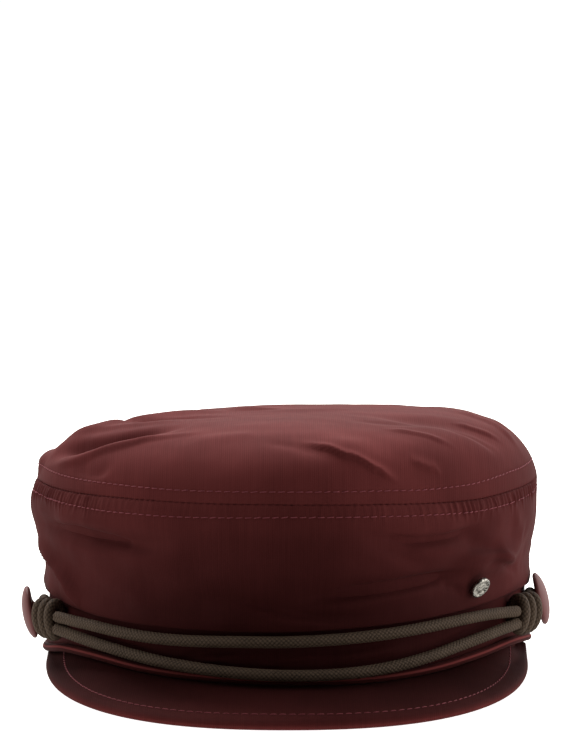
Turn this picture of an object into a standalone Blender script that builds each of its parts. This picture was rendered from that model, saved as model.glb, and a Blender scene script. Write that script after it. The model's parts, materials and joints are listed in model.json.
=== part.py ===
"""A soft-crowned kepi cap with a short peak and a doubled cord round its front.

The cap stands on a table as it was laid down: the back of its lower edge and the
lip of its peak touch the floor, z = 0. The front is -Y, up is +Z, and the origin
is the middle of the head opening, on the floor. Everything is in metres.

Every piece is placed from the oval of the headband: an angle that is counted from
the front, positive towards +X, an outward distance, and a height over the floor.
The peak lifts the front of the lower edge, so its height is a table by angle.
"""

import math
from collections import namedtuple

import bmesh
import bpy
from mathutils import Matrix, Vector
from mathutils.bvhtree import BVHTree

# The headband's outer oval, for a head of 57 cm; it is widest behind its middle
BAND_HALF_WIDTH = 0.0890
BAND_HALF_LENGTH = 0.0975
BAND_WIDEST = 0.0080
BAND_THICKNESS = 0.0022

# The clearance that touching pieces keep
GAP = 0.0003

# The cord-filled welt along the lower edge
PIPING_DIAMETER = 0.0030
PIPING_OUT = 0.0012

# How far the peak lifts the lower edge, and how high the side panel's hem is
EDGE_LIFT = 0.0100
HEM_HEIGHT = 0.0250

# The crown's side panel, which blouses over the headband, and the tip above it
CLOTH_THICKNESS = 0.0012
SEAM_HEIGHT = 0.0665
CROWN_LEAN = 0.0125
CROWN_PITCH = 0.0270
SIDE_LAP = 0.0030
SIDE_BULGE = 0.0040
TIP_RISE = 0.0245

# The peak
PEAK_REACH = 0.1453
PEAK_HALF_WIDTH = 0.0887
PEAK_SQUARENESS = 2.4
PEAK_THICKNESS = 0.0026
PEAK_EDGE_HEIGHT = 0.0037
PEAK_EDGE_ROLL = 0.0064
PEAK_LIP_WIDTH = 0.0026
PEAK_END_WIDTH = 0.0012

# The doubled cord, its knots and the buttons that hold it
CORD_DIAMETER = 0.0040
KNOT_ANGLE = 64.5
KNOT_WRAPS = 3
KNOT_HALF_DEPTH = 0.0033
KNOT_HALF_HEIGHT = 0.0055
KNOT_HEIGHT_LEFT = 0.0192
KNOT_HEIGHT_RIGHT = 0.0212
WRAP_TILT = 10.0
NECK_ANGLE = 72.0
BUTTON_ANGLE = 79.0
BUTTON_HEIGHT_LEFT = 0.0176
BUTTON_HEIGHT_RIGHT = 0.0224
EYE_HEIGHT_LEFT = 0.0180
EYE_HEIGHT_RIGHT = 0.0206
BUTTON_DIAMETER = 0.0200
BUTTON_EDGE = 0.0012
BUTTON_DOME = 0.0023
BUTTON_TURN = 5.0
BUTTON_TILT_LEFT = -9.0
BUTTON_TILT_RIGHT = 13.0
SHANK_DIAMETER = 0.0036
SHANK_LENGTH_LEFT = 0.0064
SHANK_LENGTH_RIGHT = 0.0052

# The small metal stud on the side panel
STUD_ANGLE = 46.0
STUD_HEIGHT = 0.0359
STUD_DIAMETER = 0.0076
STUD_THICKNESS = 0.0016
STUD_RIM = 0.0007

# How finely the shapes are divided
CROWN_STATIONS = 64
PIPING_STATIONS = 72
PIPING_SIDES = 6
PEAK_STATIONS = 37
WRAP_STEPS = 18
WRAP_SIDES = 8
BUTTON_STEPS = 24
CORD_POINTS = 31

# Round the cap from its back: the height of the underside of the lower edge, as a
# share of EDGE_LIFT, and of the side panel's hem, as a share of HEM_HEIGHT
RimSection = namedtuple("RimSection", "angle edge hem")
RIM_SECTIONS = (
    RimSection(-180, 0.00, 0.860),
    RimSection(-135, 0.00, 0.880),
    RimSection(-110, 0.00, 0.940),
    RimSection(-90, 0.06, 1.000),
    RimSection(-75, 0.38, 1.032),
    RimSection(-62, 0.74, 1.016),
    RimSection(-48, 0.85, 0.976),
    RimSection(-32, 0.73, 0.968),
    RimSection(-15, 0.66, 0.980),
    RimSection(0, 0.62, 0.992),
    RimSection(17, 0.60, 1.024),
    RimSection(32, 0.69, 1.060),
    RimSection(48, 0.88, 1.116),
    RimSection(62, 0.96, 1.152),
    RimSection(75, 0.76, 1.136),
    RimSection(90, 0.38, 1.056),
    RimSection(110, 0.13, 0.968),
    RimSection(135, 0.02, 0.904),
)

# The side panel's section: how far up, as a share of its height, and how far it
# stands out beyond the lap on the band, as a share of SIDE_BULGE
SideSection = namedtuple("SideSection", "height bulge")
SIDE_SECTIONS = (
    SideSection(0.00, 0.00),
    SideSection(0.06, 0.20),
    SideSection(0.14, 0.26),
    SideSection(0.24, 0.20),
    SideSection(0.34, 0.28),
    SideSection(0.44, 0.50),
    SideSection(0.54, 0.75),
    SideSection(0.66, 0.98),
    SideSection(0.79, 1.05),
    SideSection(0.91, 0.90),
    SideSection(1.00, 0.64),
)

# The tip's section: how far in from its rim, as a share of the way to its middle,
# and how high, as a share of TIP_RISE
TipSection = namedtuple("TipSection", "inset rise")
TIP_SECTIONS = (
    TipSection(0.00, 0.00),
    TipSection(0.022, 0.24),
    TipSection(0.07, 0.49),
    TipSection(0.14, 0.69),
    TipSection(0.24, 0.83),
    TipSection(0.38, 0.925),
    TipSection(0.56, 0.975),
    TipSection(0.78, 0.995),
    TipSection(1.00, 1.00),
)

# The folds of the side panel. Their places are an angle and a share of the
# panel's height; their width is a share of that height, and their depth a share
# of SIDE_BULGE, outwards where it is positive
Fold = namedtuple("Fold", "start middle end width depth")
SIDE_FOLDS = (
    Fold((-76, 0.70), (-50, 0.69), (-22, 0.61), 0.085, -0.75),
    Fold((-72, 0.86), (-52, 0.84), (-34, 0.82), 0.120, 0.30),
    Fold((20, 0.71), (33, 0.66), (48, 0.77), 0.080, -0.40),
    Fold((-8, 0.25), (20, 0.31), (43, 0.36), 0.090, -0.45),
    Fold((0, 0.47), (24, 0.50), (44, 0.52), 0.130, 0.35),
    Fold((46, 0.46), (56, 0.43), (66, 0.40), 0.090, 0.40),
    Fold((-80, 0.52), (-66, 0.30), (-54, 0.08), 0.090, 0.40),
    Fold((-96, 0.34), (-84, 0.24), (-74, 0.14), 0.160, -0.40),
    Fold((-30, 0.30), (-18, 0.38), (-6, 0.44), 0.130, 0.30),
    Fold((112, 0.62), (132, 0.52), (150, 0.56), 0.110, -0.45),
    Fold((166, 0.34), (184, 0.40), (204, 0.33), 0.110, -0.40),
    Fold((214, 0.66), (228, 0.60), (244, 0.66), 0.110, -0.45),
    Fold((66, 0.80), (92, 0.74), (118, 0.80), 0.300, -0.45),
    Fold((70, 0.16), (92, 0.20), (114, 0.20), 0.160, -0.35),
    Fold((36, 0.35), (48, 0.35), (62, 0.37), 0.090, 0.60),
    Fold((34, 0.08), (46, 0.09), (58, 0.10), 0.080, -0.35),
    Fold((-112, 0.84), (-90, 0.80), (-70, 0.84), 0.160, 0.20),
)

# The folds of the tip. Their places are shares of its half width, to the right,
# and of its half length, to the back; their width is a share of its half width,
# and their depth a share of TIP_RISE, upwards where it is positive
TIP_FOLDS = (
    Fold((-1.00, 0.04), (-0.58, 0.06), (-0.26, 0.25), 0.105, -0.25),
    Fold((-0.90, -0.14), (-0.50, -0.09), (-0.20, 0.08), 0.070, 0.08),
    Fold((-0.95, 0.12), (-0.66, 0.33), (-0.38, 0.58), 0.220, -0.15),
    Fold((0.40, -0.30), (0.62, -0.34), (0.86, -0.30), 0.085, -0.08),
    Fold((0.55, 0.44), (0.76, 0.26), (0.92, 0.02), 0.080, 0.06),
    Fold((0.12, -0.78), (0.26, -0.84), (0.38, -0.92), 0.050, 0.05),
    Fold((0.30, 0.66), (0.00, 0.74), (-0.30, 0.70), 0.120, -0.05),
)
FOLD_STEPS = 10

# The route of each strand of the cord, from one knot to the other: the angle, the
# height, and how far its middle is off the band, both in millimetres
StrandPoint = namedtuple("StrandPoint", "angle height off")
UPPER_ROUTE = (
    StrandPoint(-59.3, 21.4, 6.2),
    StrandPoint(-54, 21.2, 4.4),
    StrandPoint(-48, 21.0, 3.1),
    StrandPoint(-41, 20.6, 2.5),
    StrandPoint(-32, 20.3, 2.5),
    StrandPoint(-22, 20.5, 2.5),
    StrandPoint(-11, 21.2, 2.5),
    StrandPoint(0, 21.5, 2.5),
    StrandPoint(11, 22.1, 2.5),
    StrandPoint(22, 22.9, 2.5),
    StrandPoint(32, 23.8, 2.5),
    StrandPoint(41, 24.4, 2.5),
    StrandPoint(48, 24.5, 3.1),
    StrandPoint(54, 24.1, 4.4),
    StrandPoint(59.3, 23.4, 6.2),
)
LOWER_ROUTE = (
    StrandPoint(-59.3, 17.0, 6.4),
    StrandPoint(-54, 16.2, 4.8),
    StrandPoint(-48, 15.2, 3.5),
    StrandPoint(-41, 14.3, 3.0),
    StrandPoint(-32, 13.0, 3.0),
    StrandPoint(-22, 11.8, 3.4),
    StrandPoint(-11, 10.8, 3.9),
    StrandPoint(0, 10.2, 4.1),
    StrandPoint(11, 10.3, 4.0),
    StrandPoint(22, 11.4, 3.6),
    StrandPoint(32, 13.4, 3.1),
    StrandPoint(41, 15.6, 3.0),
    StrandPoint(48, 17.0, 3.5),
    StrandPoint(54, 18.2, 4.8),
    StrandPoint(59.3, 19.0, 6.4),
)

# Colours are linear, roughness and metallic values are those of the finish
CLOTH = ("burgundy_gabardine", (0.075, 0.020, 0.019), 0.62, 0.0)
BUTTON_LEATHER = ("mauve_leather", (0.150, 0.062, 0.058), 0.55, 0.0)
CORD_COTTON = ("taupe_waxed_cotton", (0.052, 0.040, 0.030), 0.70, 0.0)
PEWTER = ("aged_pewter", (0.42, 0.40, 0.36), 0.35, 1.0)


def oval(angle, out):
    """A point out from the headband's oval, and the oval's outward normal there."""
    turn = math.radians(angle)
    across, along = math.sin(turn), math.cos(turn)
    point = Vector((BAND_HALF_WIDTH * across, 0, 0))
    point.y = BAND_WIDEST * across * across - BAND_HALF_LENGTH * along
    slope = BAND_HALF_LENGTH * across + 2 * BAND_WIDEST * across * along
    normal = Vector((slope, -BAND_HALF_WIDTH * along, 0)).normalized()
    return point + out * normal, normal


def placed(angle, out, height):
    """The point at that angle, that far out from the oval, that high."""
    point, _ = oval(angle, out)
    point.z = height
    return point


def smooth_row(rows, place, wrap=None):
    """The row of a table at a place between its rows, along a smooth curve."""
    rows = list(rows)
    if wrap:
        ahead = [(row[0] + wrap, *row[1:]) for row in rows[:3]]
        behind = [(row[0] - wrap, *row[1:]) for row in rows[-2:]]
        rows = behind + rows + ahead
    i = max(k for k in range(len(rows) - 1) if k == 0 or rows[k][0] <= place)
    start, end = rows[i], rows[i + 1]
    before, after = rows[max(i - 1, 0)], rows[min(i + 2, len(rows) - 1)]
    span = end[0] - start[0]
    u = (place - start[0]) / span
    result = []
    for k in range(1, len(start)):
        leave = (end[k] - before[k]) / (end[0] - before[0]) * span
        arrive = (after[k] - start[k]) / (after[0] - start[0]) * span
        result.append(
            (2 * u**3 - 3 * u**2 + 1) * start[k]
            + (u**3 - 2 * u**2 + u) * leave
            + (3 * u**2 - 2 * u**3) * end[k]
            + (u**3 - u**2) * arrive
        )
    return result


def edge_height(angle):
    """How high the underside of the lower edge is above the floor."""
    place = (angle + 180) % 360 - 180
    return EDGE_LIFT * max(0.0, smooth_row(RIM_SECTIONS, place, wrap=360)[0])


def hem_height(angle):
    """How high the hem of the side panel is above the floor."""
    place = (angle + 180) % 360 - 180
    return HEM_HEIGHT * smooth_row(RIM_SECTIONS, place, wrap=360)[1]


def seam_height(point):
    """The seam round the crown: higher to the front, and a little to one side."""
    return SEAM_HEIGHT + CROWN_LEAN * point.x - CROWN_PITCH * point.y


SIDE_LAP_OUT = GAP + CLOTH_THICKNESS
SEAM_OUT = SIDE_LAP_OUT + SIDE_SECTIONS[-1].bulge * SIDE_BULGE
MEAN_RADIUS = (BAND_HALF_WIDTH + BAND_HALF_LENGTH) / 2
SIDE_HEIGHT = SEAM_HEIGHT - hem_height(0.0)


def fold_push(fold, across, up, scale):
    """How much a fold moves the cloth at a point, which fades off to its ends."""
    reach = math.inf
    along = 0.0
    for step in range(FOLD_STEPS + 1):
        u = step / FOLD_STEPS
        weights = ((1 - u) * (1 - 2 * u), 4 * u * (1 - u), u * (2 * u - 1))
        places = (fold.start, fold.middle, fold.end)
        middle = [sum(w * place[k] for w, place in zip(weights, places)) for k in (0, 1)]
        distance = math.hypot((across - middle[0]) * scale[0], (up - middle[1]) * scale[1])
        if distance < reach:
            reach, along = distance, u
    fade = min(1.0, 4.0 * min(along, 1 - along) + 0.25)
    return fold.depth * fade * math.exp(-((reach / fold.width) ** 2))


def section_value(sections, place):
    """The second column of a table of sections, at a value of its first."""
    for (a, va), (b, vb) in zip(sections, sections[1:]):
        if place <= b:
            return va + (vb - va) * (place - a) / (b - a)
    return sections[-1][1]


def side_out(angle, share):
    """How far the side panel's outer face stands out from the oval."""
    scale = (math.radians(MEAN_RADIUS / SIDE_HEIGHT), 1.0)
    calm = min(1.0, 9.0 * share, 8.0 * (1 - share))
    pushes = 0.0
    for fold in SIDE_FOLDS:
        middle = fold.middle[0]
        near = middle + (angle - middle + 180) % 360 - 180
        pushes += fold_push(fold, near, share, scale)
    bulge = section_value(SIDE_SECTIONS, share) + calm * pushes
    return SIDE_LAP_OUT + SIDE_BULGE * max(0.0, bulge)


def tip_point(angle, inset):
    """A point of the tip's outer face."""
    rim, _ = oval(angle, SEAM_OUT)
    half_width = BAND_HALF_WIDTH + SEAM_OUT
    half_length = BAND_HALF_LENGTH + SEAM_OUT
    point = rim * (1 - inset)
    calm = min(1.0, 9.0 * inset)
    pushes = sum(
        fold_push(fold, point.x / half_width, point.y / half_length, (1.0, 1.0))
        for fold in TIP_FOLDS
    )
    rise = section_value(TIP_SECTIONS, inset) + calm * pushes
    point.z = seam_height(point) + GAP / 2 + TIP_RISE * rise
    return point


def material(finish):
    """A plain Principled material, made once for all the pieces that share it."""
    name, colour, roughness, metallic = finish
    made = bpy.data.materials.get(name)
    if made is None:
        made = bpy.data.materials.new(name)
        made.use_nodes = True
        shader = made.node_tree.nodes["Principled BSDF"]
        shader.inputs["Base Color"].default_value = (*colour, 1.0)
        shader.inputs["Roughness"].default_value = roughness
        shader.inputs["Metallic"].default_value = metallic
    return made


def finished(name, mesh_builder, finish, sharp_angle=35.0):
    """Turns a bmesh into a named object with its finish, with faces pointing out."""
    bmesh.ops.recalc_face_normals(mesh_builder, faces=mesh_builder.faces)
    mesh = bpy.data.meshes.new(name)
    mesh_builder.to_mesh(mesh)
    mesh_builder.free()
    mesh.shade_smooth()
    mesh.set_sharp_from_angle(angle=math.radians(sharp_angle))
    mesh.materials.append(material(finish))
    made = bpy.data.objects.new(name, mesh)
    bpy.context.scene.collection.objects.link(made)
    return made


def closed_rings(mesh_builder, rings, end_to_end):
    """Skins rings of points one to the next, and the last to the first if asked."""
    loops = [[mesh_builder.verts.new(point) for point in ring] for ring in rings]
    pairs = list(zip(loops, loops[1:]))
    if end_to_end:
        pairs.append((loops[-1], loops[0]))
    for lower, upper in pairs:
        for i in range(len(lower)):
            j = (i + 1) % len(lower)
            mesh_builder.faces.new((lower[i], lower[j], upper[j], upper[i]))
    return loops


def stations(count):
    """Angles all the way round, from the back."""
    return [-180.0 + 360.0 * i / count for i in range(count)]


def make_headband():
    """The stiff band round the head: up into the side panel, down behind the welt."""
    builder = bmesh.new()
    rings = []
    for angle in stations(CROWN_STATIONS):
        foot = edge_height(angle)
        top = hem_height(angle) + SIDE_LAP
        corners = (
            (0.0, foot + 1.00 * PIPING_DIAMETER),
            (0.0, top),
            (-BAND_THICKNESS, top),
            (-BAND_THICKNESS, foot + 0.47 * PIPING_DIAMETER),
            (-0.32 * PIPING_DIAMETER, foot + 0.47 * PIPING_DIAMETER),
        )
        rings.append([placed(angle, out, height) for out, height in corners])
    closed_rings(builder, rings, end_to_end=True)
    return finished("headband", builder, CLOTH)


def make_piping():
    """The round welt that finishes the lower edge, with a flat side to the floor."""
    radius = PIPING_DIAMETER / 2
    corner = radius / math.cos(math.pi / PIPING_SIDES)
    builder = bmesh.new()
    rings = []
    for angle in stations(PIPING_STATIONS):
        foot = edge_height(angle)
        ring = []
        for side in range(PIPING_SIDES):
            turn = math.tau * side / PIPING_SIDES
            out = PIPING_OUT + corner * math.cos(turn)
            ring.append(placed(angle, out, foot + radius + corner * math.sin(turn)))
        rings.append(ring)
    closed_rings(builder, rings, end_to_end=True)
    return finished("edge_piping", builder, CLOTH)


def side_place(angle, share, inward=0.0):
    """A point of the side panel, at a share of the way from its hem to its seam."""
    point, normal = oval(angle, side_out(angle, share) - inward)
    hem = hem_height(angle)
    point.z = hem + share * (seam_height(point) - GAP / 2 - hem)
    return point


def make_side_panel():
    """The crown's side: one strip of cloth, seamed to the tip, loose over the band."""
    outer, inner = [], []
    for section in SIDE_SECTIONS:
        angles = stations(CROWN_STATIONS)
        outer.append([side_place(a, section.height) for a in angles])
        inner.append([side_place(a, section.height, CLOTH_THICKNESS) for a in angles])
    builder = bmesh.new()
    closed_rings(builder, outer + inner[::-1], end_to_end=True)
    return finished("crown_side", builder, CLOTH)


def tip_lean(index):
    """The tip's outward and upward lean at a section; its rim is cut upright."""
    if index == 0:
        return 1.0, 0.0
    last = len(TIP_SECTIONS) - 1
    before = TIP_SECTIONS[index - 1]
    after = TIP_SECTIONS[min(index + 1, last)]
    run = (after.inset - before.inset) * BAND_HALF_WIDTH
    rise = (after.rise - before.rise) * TIP_RISE
    slope = math.hypot(run, rise)
    return rise / slope, run / slope


def make_tip():
    """The crown's tip: one soft oval of cloth, higher in the middle, with dents."""
    angles = stations(CROWN_STATIONS)
    builder = bmesh.new()
    outer = [[tip_point(a, s.inset) for a in angles] for s in TIP_SECTIONS[:-1]]
    inner = []
    for index, ring in enumerate(outer):
        out, up = tip_lean(index)
        row = []
        for angle, point in zip(angles, ring):
            _, normal = oval(angle, 0.0)
            row.append(point - CLOTH_THICKNESS * (out * normal + Vector((0, 0, up))))
        inner.append(row)
    loops = closed_rings(builder, inner[::-1] + outer, end_to_end=False)
    crest = tip_point(0.0, 1.0)
    for loop, middle in (
        (loops[0], crest - Vector((0, 0, CLOTH_THICKNESS))),
        (loops[-1], crest),
    ):
        pole = builder.verts.new(middle)
        for i in range(len(loop)):
            builder.faces.new((loop[i], loop[(i + 1) % len(loop)], pole))
    return finished("crown_tip", builder, CLOTH)


def peak_width(angle):
    """How far the peak reaches out along the oval's normal at an angle."""
    low, high = 0.0, PEAK_REACH
    for _ in range(40):
        reach = (low + high) / 2
        point, _ = oval(angle, reach)
        edge = abs(point.x / PEAK_HALF_WIDTH) ** PEAK_SQUARENESS
        edge += abs(point.y / PEAK_REACH) ** PEAK_SQUARENESS
        if edge < 1 and point.y < 0:
            low = reach
        else:
            high = reach
    return low


def peak_end_angle():
    """The angle at which the peak has narrowed to its end."""
    low, high = 0.0, 90.0
    for _ in range(40):
        angle = (low + high) / 2
        if peak_width(angle) > PEAK_END_WIDTH:
            low = angle
        else:
            high = angle
    return low


def peak_section(angle):
    """The peak's closed section at an angle: a flat board, rolled down at its edge."""
    width = peak_width(angle)
    root_top = edge_height(angle) - GAP
    edge_top = min(PEAK_EDGE_HEIGHT, 0.8 * root_top)
    roll = min(PEAK_EDGE_ROLL, 0.60 * width)
    lip = min(PEAK_LIP_WIDTH, 0.45 * width)
    at_roll = edge_top + 0.04 * (root_top - edge_top)
    board = min(PEAK_THICKNESS, 0.62 * at_roll)
    sag = 0.42 * root_top + 0.58 * at_roll
    outline = (
        (0.0, root_top),
        (0.5 * (width - roll), sag),
        (width - roll, at_roll),
        (width - 0.48 * roll, 0.92 * edge_top),
        (width - 0.16 * roll, 0.72 * edge_top),
        (width, 0.38 * edge_top),
        (width - 0.05 * roll, 0.10 * edge_top),
        (width - 0.14 * roll, 0.0),
        (width - 0.14 * roll - 0.6 * lip, 0.0),
        (width - roll, at_roll - board),
        (0.5 * (width - roll), sag - board),
        (0.0, root_top - board),
    )
    return [placed(angle, reach, height) for reach, height in outline]


def make_peak():
    """The peak: a crescent of covered board that lies almost flat at the front."""
    end = peak_end_angle()
    builder = bmesh.new()
    angles = [end * (2 * i / (PEAK_STATIONS - 1) - 1) for i in range(PEAK_STATIONS)]
    loops = closed_rings(builder, [peak_section(a) for a in angles], end_to_end=False)
    builder.faces.new(loops[0][::-1])
    builder.faces.new(loops[-1])
    bmesh.ops.triangulate(builder, faces=[f for f in builder.faces if len(f.verts) > 4])
    return finished("peak", builder, CLOTH)


def make_strand(name, route):
    """One strand of the doubled cord, from knot to knot across the front."""
    curve = bpy.data.curves.new(name, "CURVE")
    curve.dimensions = "3D"
    curve.bevel_depth = CORD_DIAMETER / 2
    curve.bevel_resolution = 2
    curve.use_fill_caps = True
    spline = curve.splines.new("POLY")
    spline.points.add(CORD_POINTS - 1)
    first, last = route[0].angle, route[-1].angle
    for step, point in enumerate(spline.points):
        angle = first + (last - first) * step / (CORD_POINTS - 1)
        height, off = smooth_row(route, angle)
        point.co = (*placed(angle, off / 1000, height / 1000), 1.0)
    curve.materials.append(material(CORD_COTTON))
    made = bpy.data.objects.new(name, curve)
    bpy.context.scene.collection.objects.link(made)
    return made


def ring_of_cord(middle, long_way, short_way, long_radius, short_radius):
    """A loop of cord round a middle, oval where its two radii differ."""
    rings = []
    radius = CORD_DIAMETER / 2
    axis = long_way.cross(short_way).normalized()
    for step in range(WRAP_STEPS):
        turn = math.tau * step / WRAP_STEPS
        along = math.cos(turn) * long_radius * long_way + math.sin(turn) * short_radius * short_way
        outward = math.cos(turn) * short_radius * long_way + math.sin(turn) * long_radius * short_way
        outward.normalize()
        ring = []
        for side in range(WRAP_SIDES):
            roll = math.tau * (side + 0.5) / WRAP_SIDES
            ring.append(middle + along + radius * (math.cos(roll) * outward + math.sin(roll) * axis))
        rings.append(ring)
    return rings


def loose_object(name, builder):
    """An object that is only used to be joined into another."""
    return finished(name, builder, CORD_COTTON, sharp_angle=60.0)


def joined(base, others):
    """Fuses the other objects into the base, then removes them."""
    for other in others:
        union = base.modifiers.new(other.name, "BOOLEAN")
        union.operation = "UNION"
        union.object = other
    mesh = bpy.data.meshes.new_from_object(
        base.evaluated_get(bpy.context.evaluated_depsgraph_get())
    )
    base.modifiers.clear()
    base.data = mesh
    for other in others:
        bpy.data.objects.remove(other)
    return base


def tube_between(builder, middles, half_depths, half_heights, outward, up):
    """A closed tube through the middles, each with its own oval section."""
    rings = []
    for middle, depth, height in zip(middles, half_depths, half_heights):
        ring = []
        for step in range(12):
            turn = math.tau * (step + 0.5) / 12
            ring.append(middle + math.sin(turn) * depth * outward + math.cos(turn) * height * up)
        rings.append(ring)
    loops = closed_rings(builder, rings, end_to_end=False)
    builder.faces.new(loops[0][::-1])
    builder.faces.new(loops[-1])


def make_knot(name, side, height, eye_height):
    """A knot: an eye of cord round the button's shank, closed by turns of cord."""
    radius = CORD_DIAMETER / 2
    out = GAP + radius + KNOT_HALF_DEPTH
    middle = placed(side * KNOT_ANGLE, out, height)
    _, outward = oval(side * KNOT_ANGLE, 0.0)
    up = Vector((0, 0, 1))
    forward = Vector((-outward.y, outward.x, 0)) * -side
    pitch = 1.02 * CORD_DIAMETER
    pieces = []
    for wrap in range(KNOT_WRAPS):
        shift = (wrap - (KNOT_WRAPS - 1) / 2) * pitch
        turn = Matrix.Rotation(math.radians(-side * WRAP_TILT), 3, outward)
        builder = bmesh.new()
        rings = ring_of_cord(
            middle + shift * forward, turn @ up, outward, KNOT_HALF_HEIGHT, KNOT_HALF_DEPTH
        )
        closed_rings(builder, rings, end_to_end=True)
        pieces.append(loose_object(f"{name}_wrap_{wrap}", builder))

    # The eye lies against the band, round the shank of the button
    eye_radius = SHANK_DIAMETER / 2 + GAP + radius
    eye_middle = placed(side * BUTTON_ANGLE, GAP + radius, eye_height)
    _, eye_way = oval(side * BUTTON_ANGLE, 0.0)
    eye_forward = Vector((-eye_way.y, eye_way.x, 0)) * -side
    builder = bmesh.new()
    rings = ring_of_cord(eye_middle, eye_forward, up, eye_radius, eye_radius)
    closed_rings(builder, rings, end_to_end=True)
    eye = loose_object(name, builder)

    # The core: the cord's two lengths, from the eye through the turns
    reach = KNOT_WRAPS / 2 * pitch
    neck = placed(side * NECK_ANGLE, GAP + radius, (height + eye_height) / 2)
    builder = bmesh.new()
    tube_between(
        builder,
        [
            eye_middle + eye_radius * eye_forward,
            neck,
            middle - (reach - 0.5 * radius) * forward,
            middle,
            middle + reach * forward,
        ],
        [0.80 * radius, 0.90 * radius, 1.20 * radius, 1.20 * radius, 1.10 * radius],
        [1.60 * radius, 1.80 * radius, 2.00 * radius, 2.00 * radius, 2.00 * radius],
        outward,
        up,
    )
    pieces.append(loose_object(f"{name}_core", builder))
    return joined(eye, pieces)


def make_button(name, side, tilt, height, foot_height, shank_length):
    """A covered shank button: a domed disc, with the post that the eye goes round."""
    radius = BUTTON_DIAMETER / 2
    disc = [
        (0.0, BUTTON_EDGE + BUTTON_DOME),
        (0.45 * radius, BUTTON_EDGE + 0.84 * BUTTON_DOME),
        (0.78 * radius, BUTTON_EDGE + 0.44 * BUTTON_DOME),
        (0.95 * radius, BUTTON_EDGE),
        (radius, 0.55 * BUTTON_EDGE),
        (0.96 * radius, 0.10 * BUTTON_EDGE),
        (0.90 * radius, 0.0),
        (0.0, 0.0),
    ]
    foot = placed(side * BUTTON_ANGLE, GAP, foot_height)
    seat = placed(side * BUTTON_ANGLE, GAP + shank_length, height)
    _, outward = oval(side * BUTTON_ANGLE, 0.0)
    forward = Vector((-outward.y, outward.x, 0)) * -side
    up = Vector((0, 0, 1))
    lean = Matrix.Rotation(math.radians(tilt), 3, side * forward)
    turn = Matrix.Rotation(math.radians(side * BUTTON_TURN), 3, up)
    post_length = shank_length + BUTTON_EDGE
    post = [
        (0.0, post_length),
        (SHANK_DIAMETER / 2, post_length),
        (SHANK_DIAMETER / 2, 0.0),
        (0.0, 0.0),
    ]
    pieces = []
    for piece, base, axis, profile in (
        (name, seat, turn @ lean @ outward, disc),
        (f"{name}_shank", foot, outward, post),
    ):
        builder = bmesh.new()
        turned(builder, profile, base, axis, BUTTON_STEPS)
        pieces.append(finished(piece, builder, BUTTON_LEATHER))
    return joined(pieces[0], pieces[1:])


def turned(builder, profile, base, axis, steps):
    """Turns a profile of radius and height about an axis, with a pole at each end."""
    frame = axis.to_track_quat("Z", "Y").to_matrix()
    rings = []
    for radius, height in profile[1:-1]:
        ring = []
        for step in range(steps):
            turn = math.tau * step / steps
            ring.append(base + frame @ Vector((radius * math.cos(turn), radius * math.sin(turn), height)))
        rings.append(ring)
    loops = closed_rings(builder, rings, end_to_end=False)
    for loop, (_, height) in ((loops[0], profile[0]), (loops[-1], profile[-1])):
        pole = builder.verts.new(base + frame @ Vector((0, 0, height)))
        for i in range(steps):
            builder.faces.new((loop[i], loop[(i + 1) % steps], pole))


def make_stud(panel):
    """A small round metal stud, seated on the cloth of the side panel."""
    hem = hem_height(STUD_ANGLE)
    share = (STUD_HEIGHT - hem) / (seam_height(oval(STUD_ANGLE, 0.0)[0]) - hem)
    reach = placed(STUD_ANGLE, side_out(STUD_ANGLE, share), STUD_HEIGHT)
    tree = BVHTree.FromPolygons(
        [v.co for v in panel.data.vertices], [p.vertices for p in panel.data.polygons]
    )
    _, outward = oval(STUD_ANGLE, 0.0)
    radius = STUD_DIAMETER / 2

    # The cloth's slope under the stud, from where three rays land round its edge
    landings = []
    for turn in (90, 210, 330):
        across = Vector((-outward.y, outward.x, 0)) * math.cos(math.radians(turn))
        offset = radius * (across + Vector((0, 0, math.sin(math.radians(turn)))))
        start = reach + offset + 10 * CLOTH_THICKNESS * outward
        landings.append(tree.ray_cast(start, -outward)[0])
    axis = (landings[1] - landings[0]).cross(landings[2] - landings[0]).normalized()
    if axis.dot(outward) < 0:
        axis.negate()

    # The stud's back is as near the cloth as its highest point allows
    frame = axis.to_track_quat("Z", "Y").to_matrix()
    base = sum(landings, Vector()) / 3
    highest = 0.0
    for step in range(12):
        turn = math.tau * step / 12
        for share_out in (0.0, 0.5, 1.0):
            flat = Vector((math.cos(turn), math.sin(turn), 0)) * radius * share_out
            start = base + frame @ flat + 5 * CLOTH_THICKNESS * axis
            landing = tree.ray_cast(start, -axis)[0]
            highest = max(highest, (landing - base).dot(axis))
    profile = [
        (0.0, STUD_THICKNESS - 0.45 * STUD_RIM),
        (radius - 1.7 * STUD_RIM, STUD_THICKNESS - 0.6 * STUD_RIM),
        (radius - STUD_RIM, STUD_THICKNESS),
        (radius - 0.3 * STUD_RIM, STUD_THICKNESS - 0.1 * STUD_RIM),
        (radius, STUD_THICKNESS - 0.5 * STUD_RIM),
        (radius, 0.25 * STUD_RIM),
        (radius - 0.3 * STUD_RIM, 0.0),
        (0.0, 0.0),
    ]
    builder = bmesh.new()
    turned(builder, profile, base + (highest + GAP) * axis, axis, BUTTON_STEPS)
    return finished("stud", builder, PEWTER)


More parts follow.
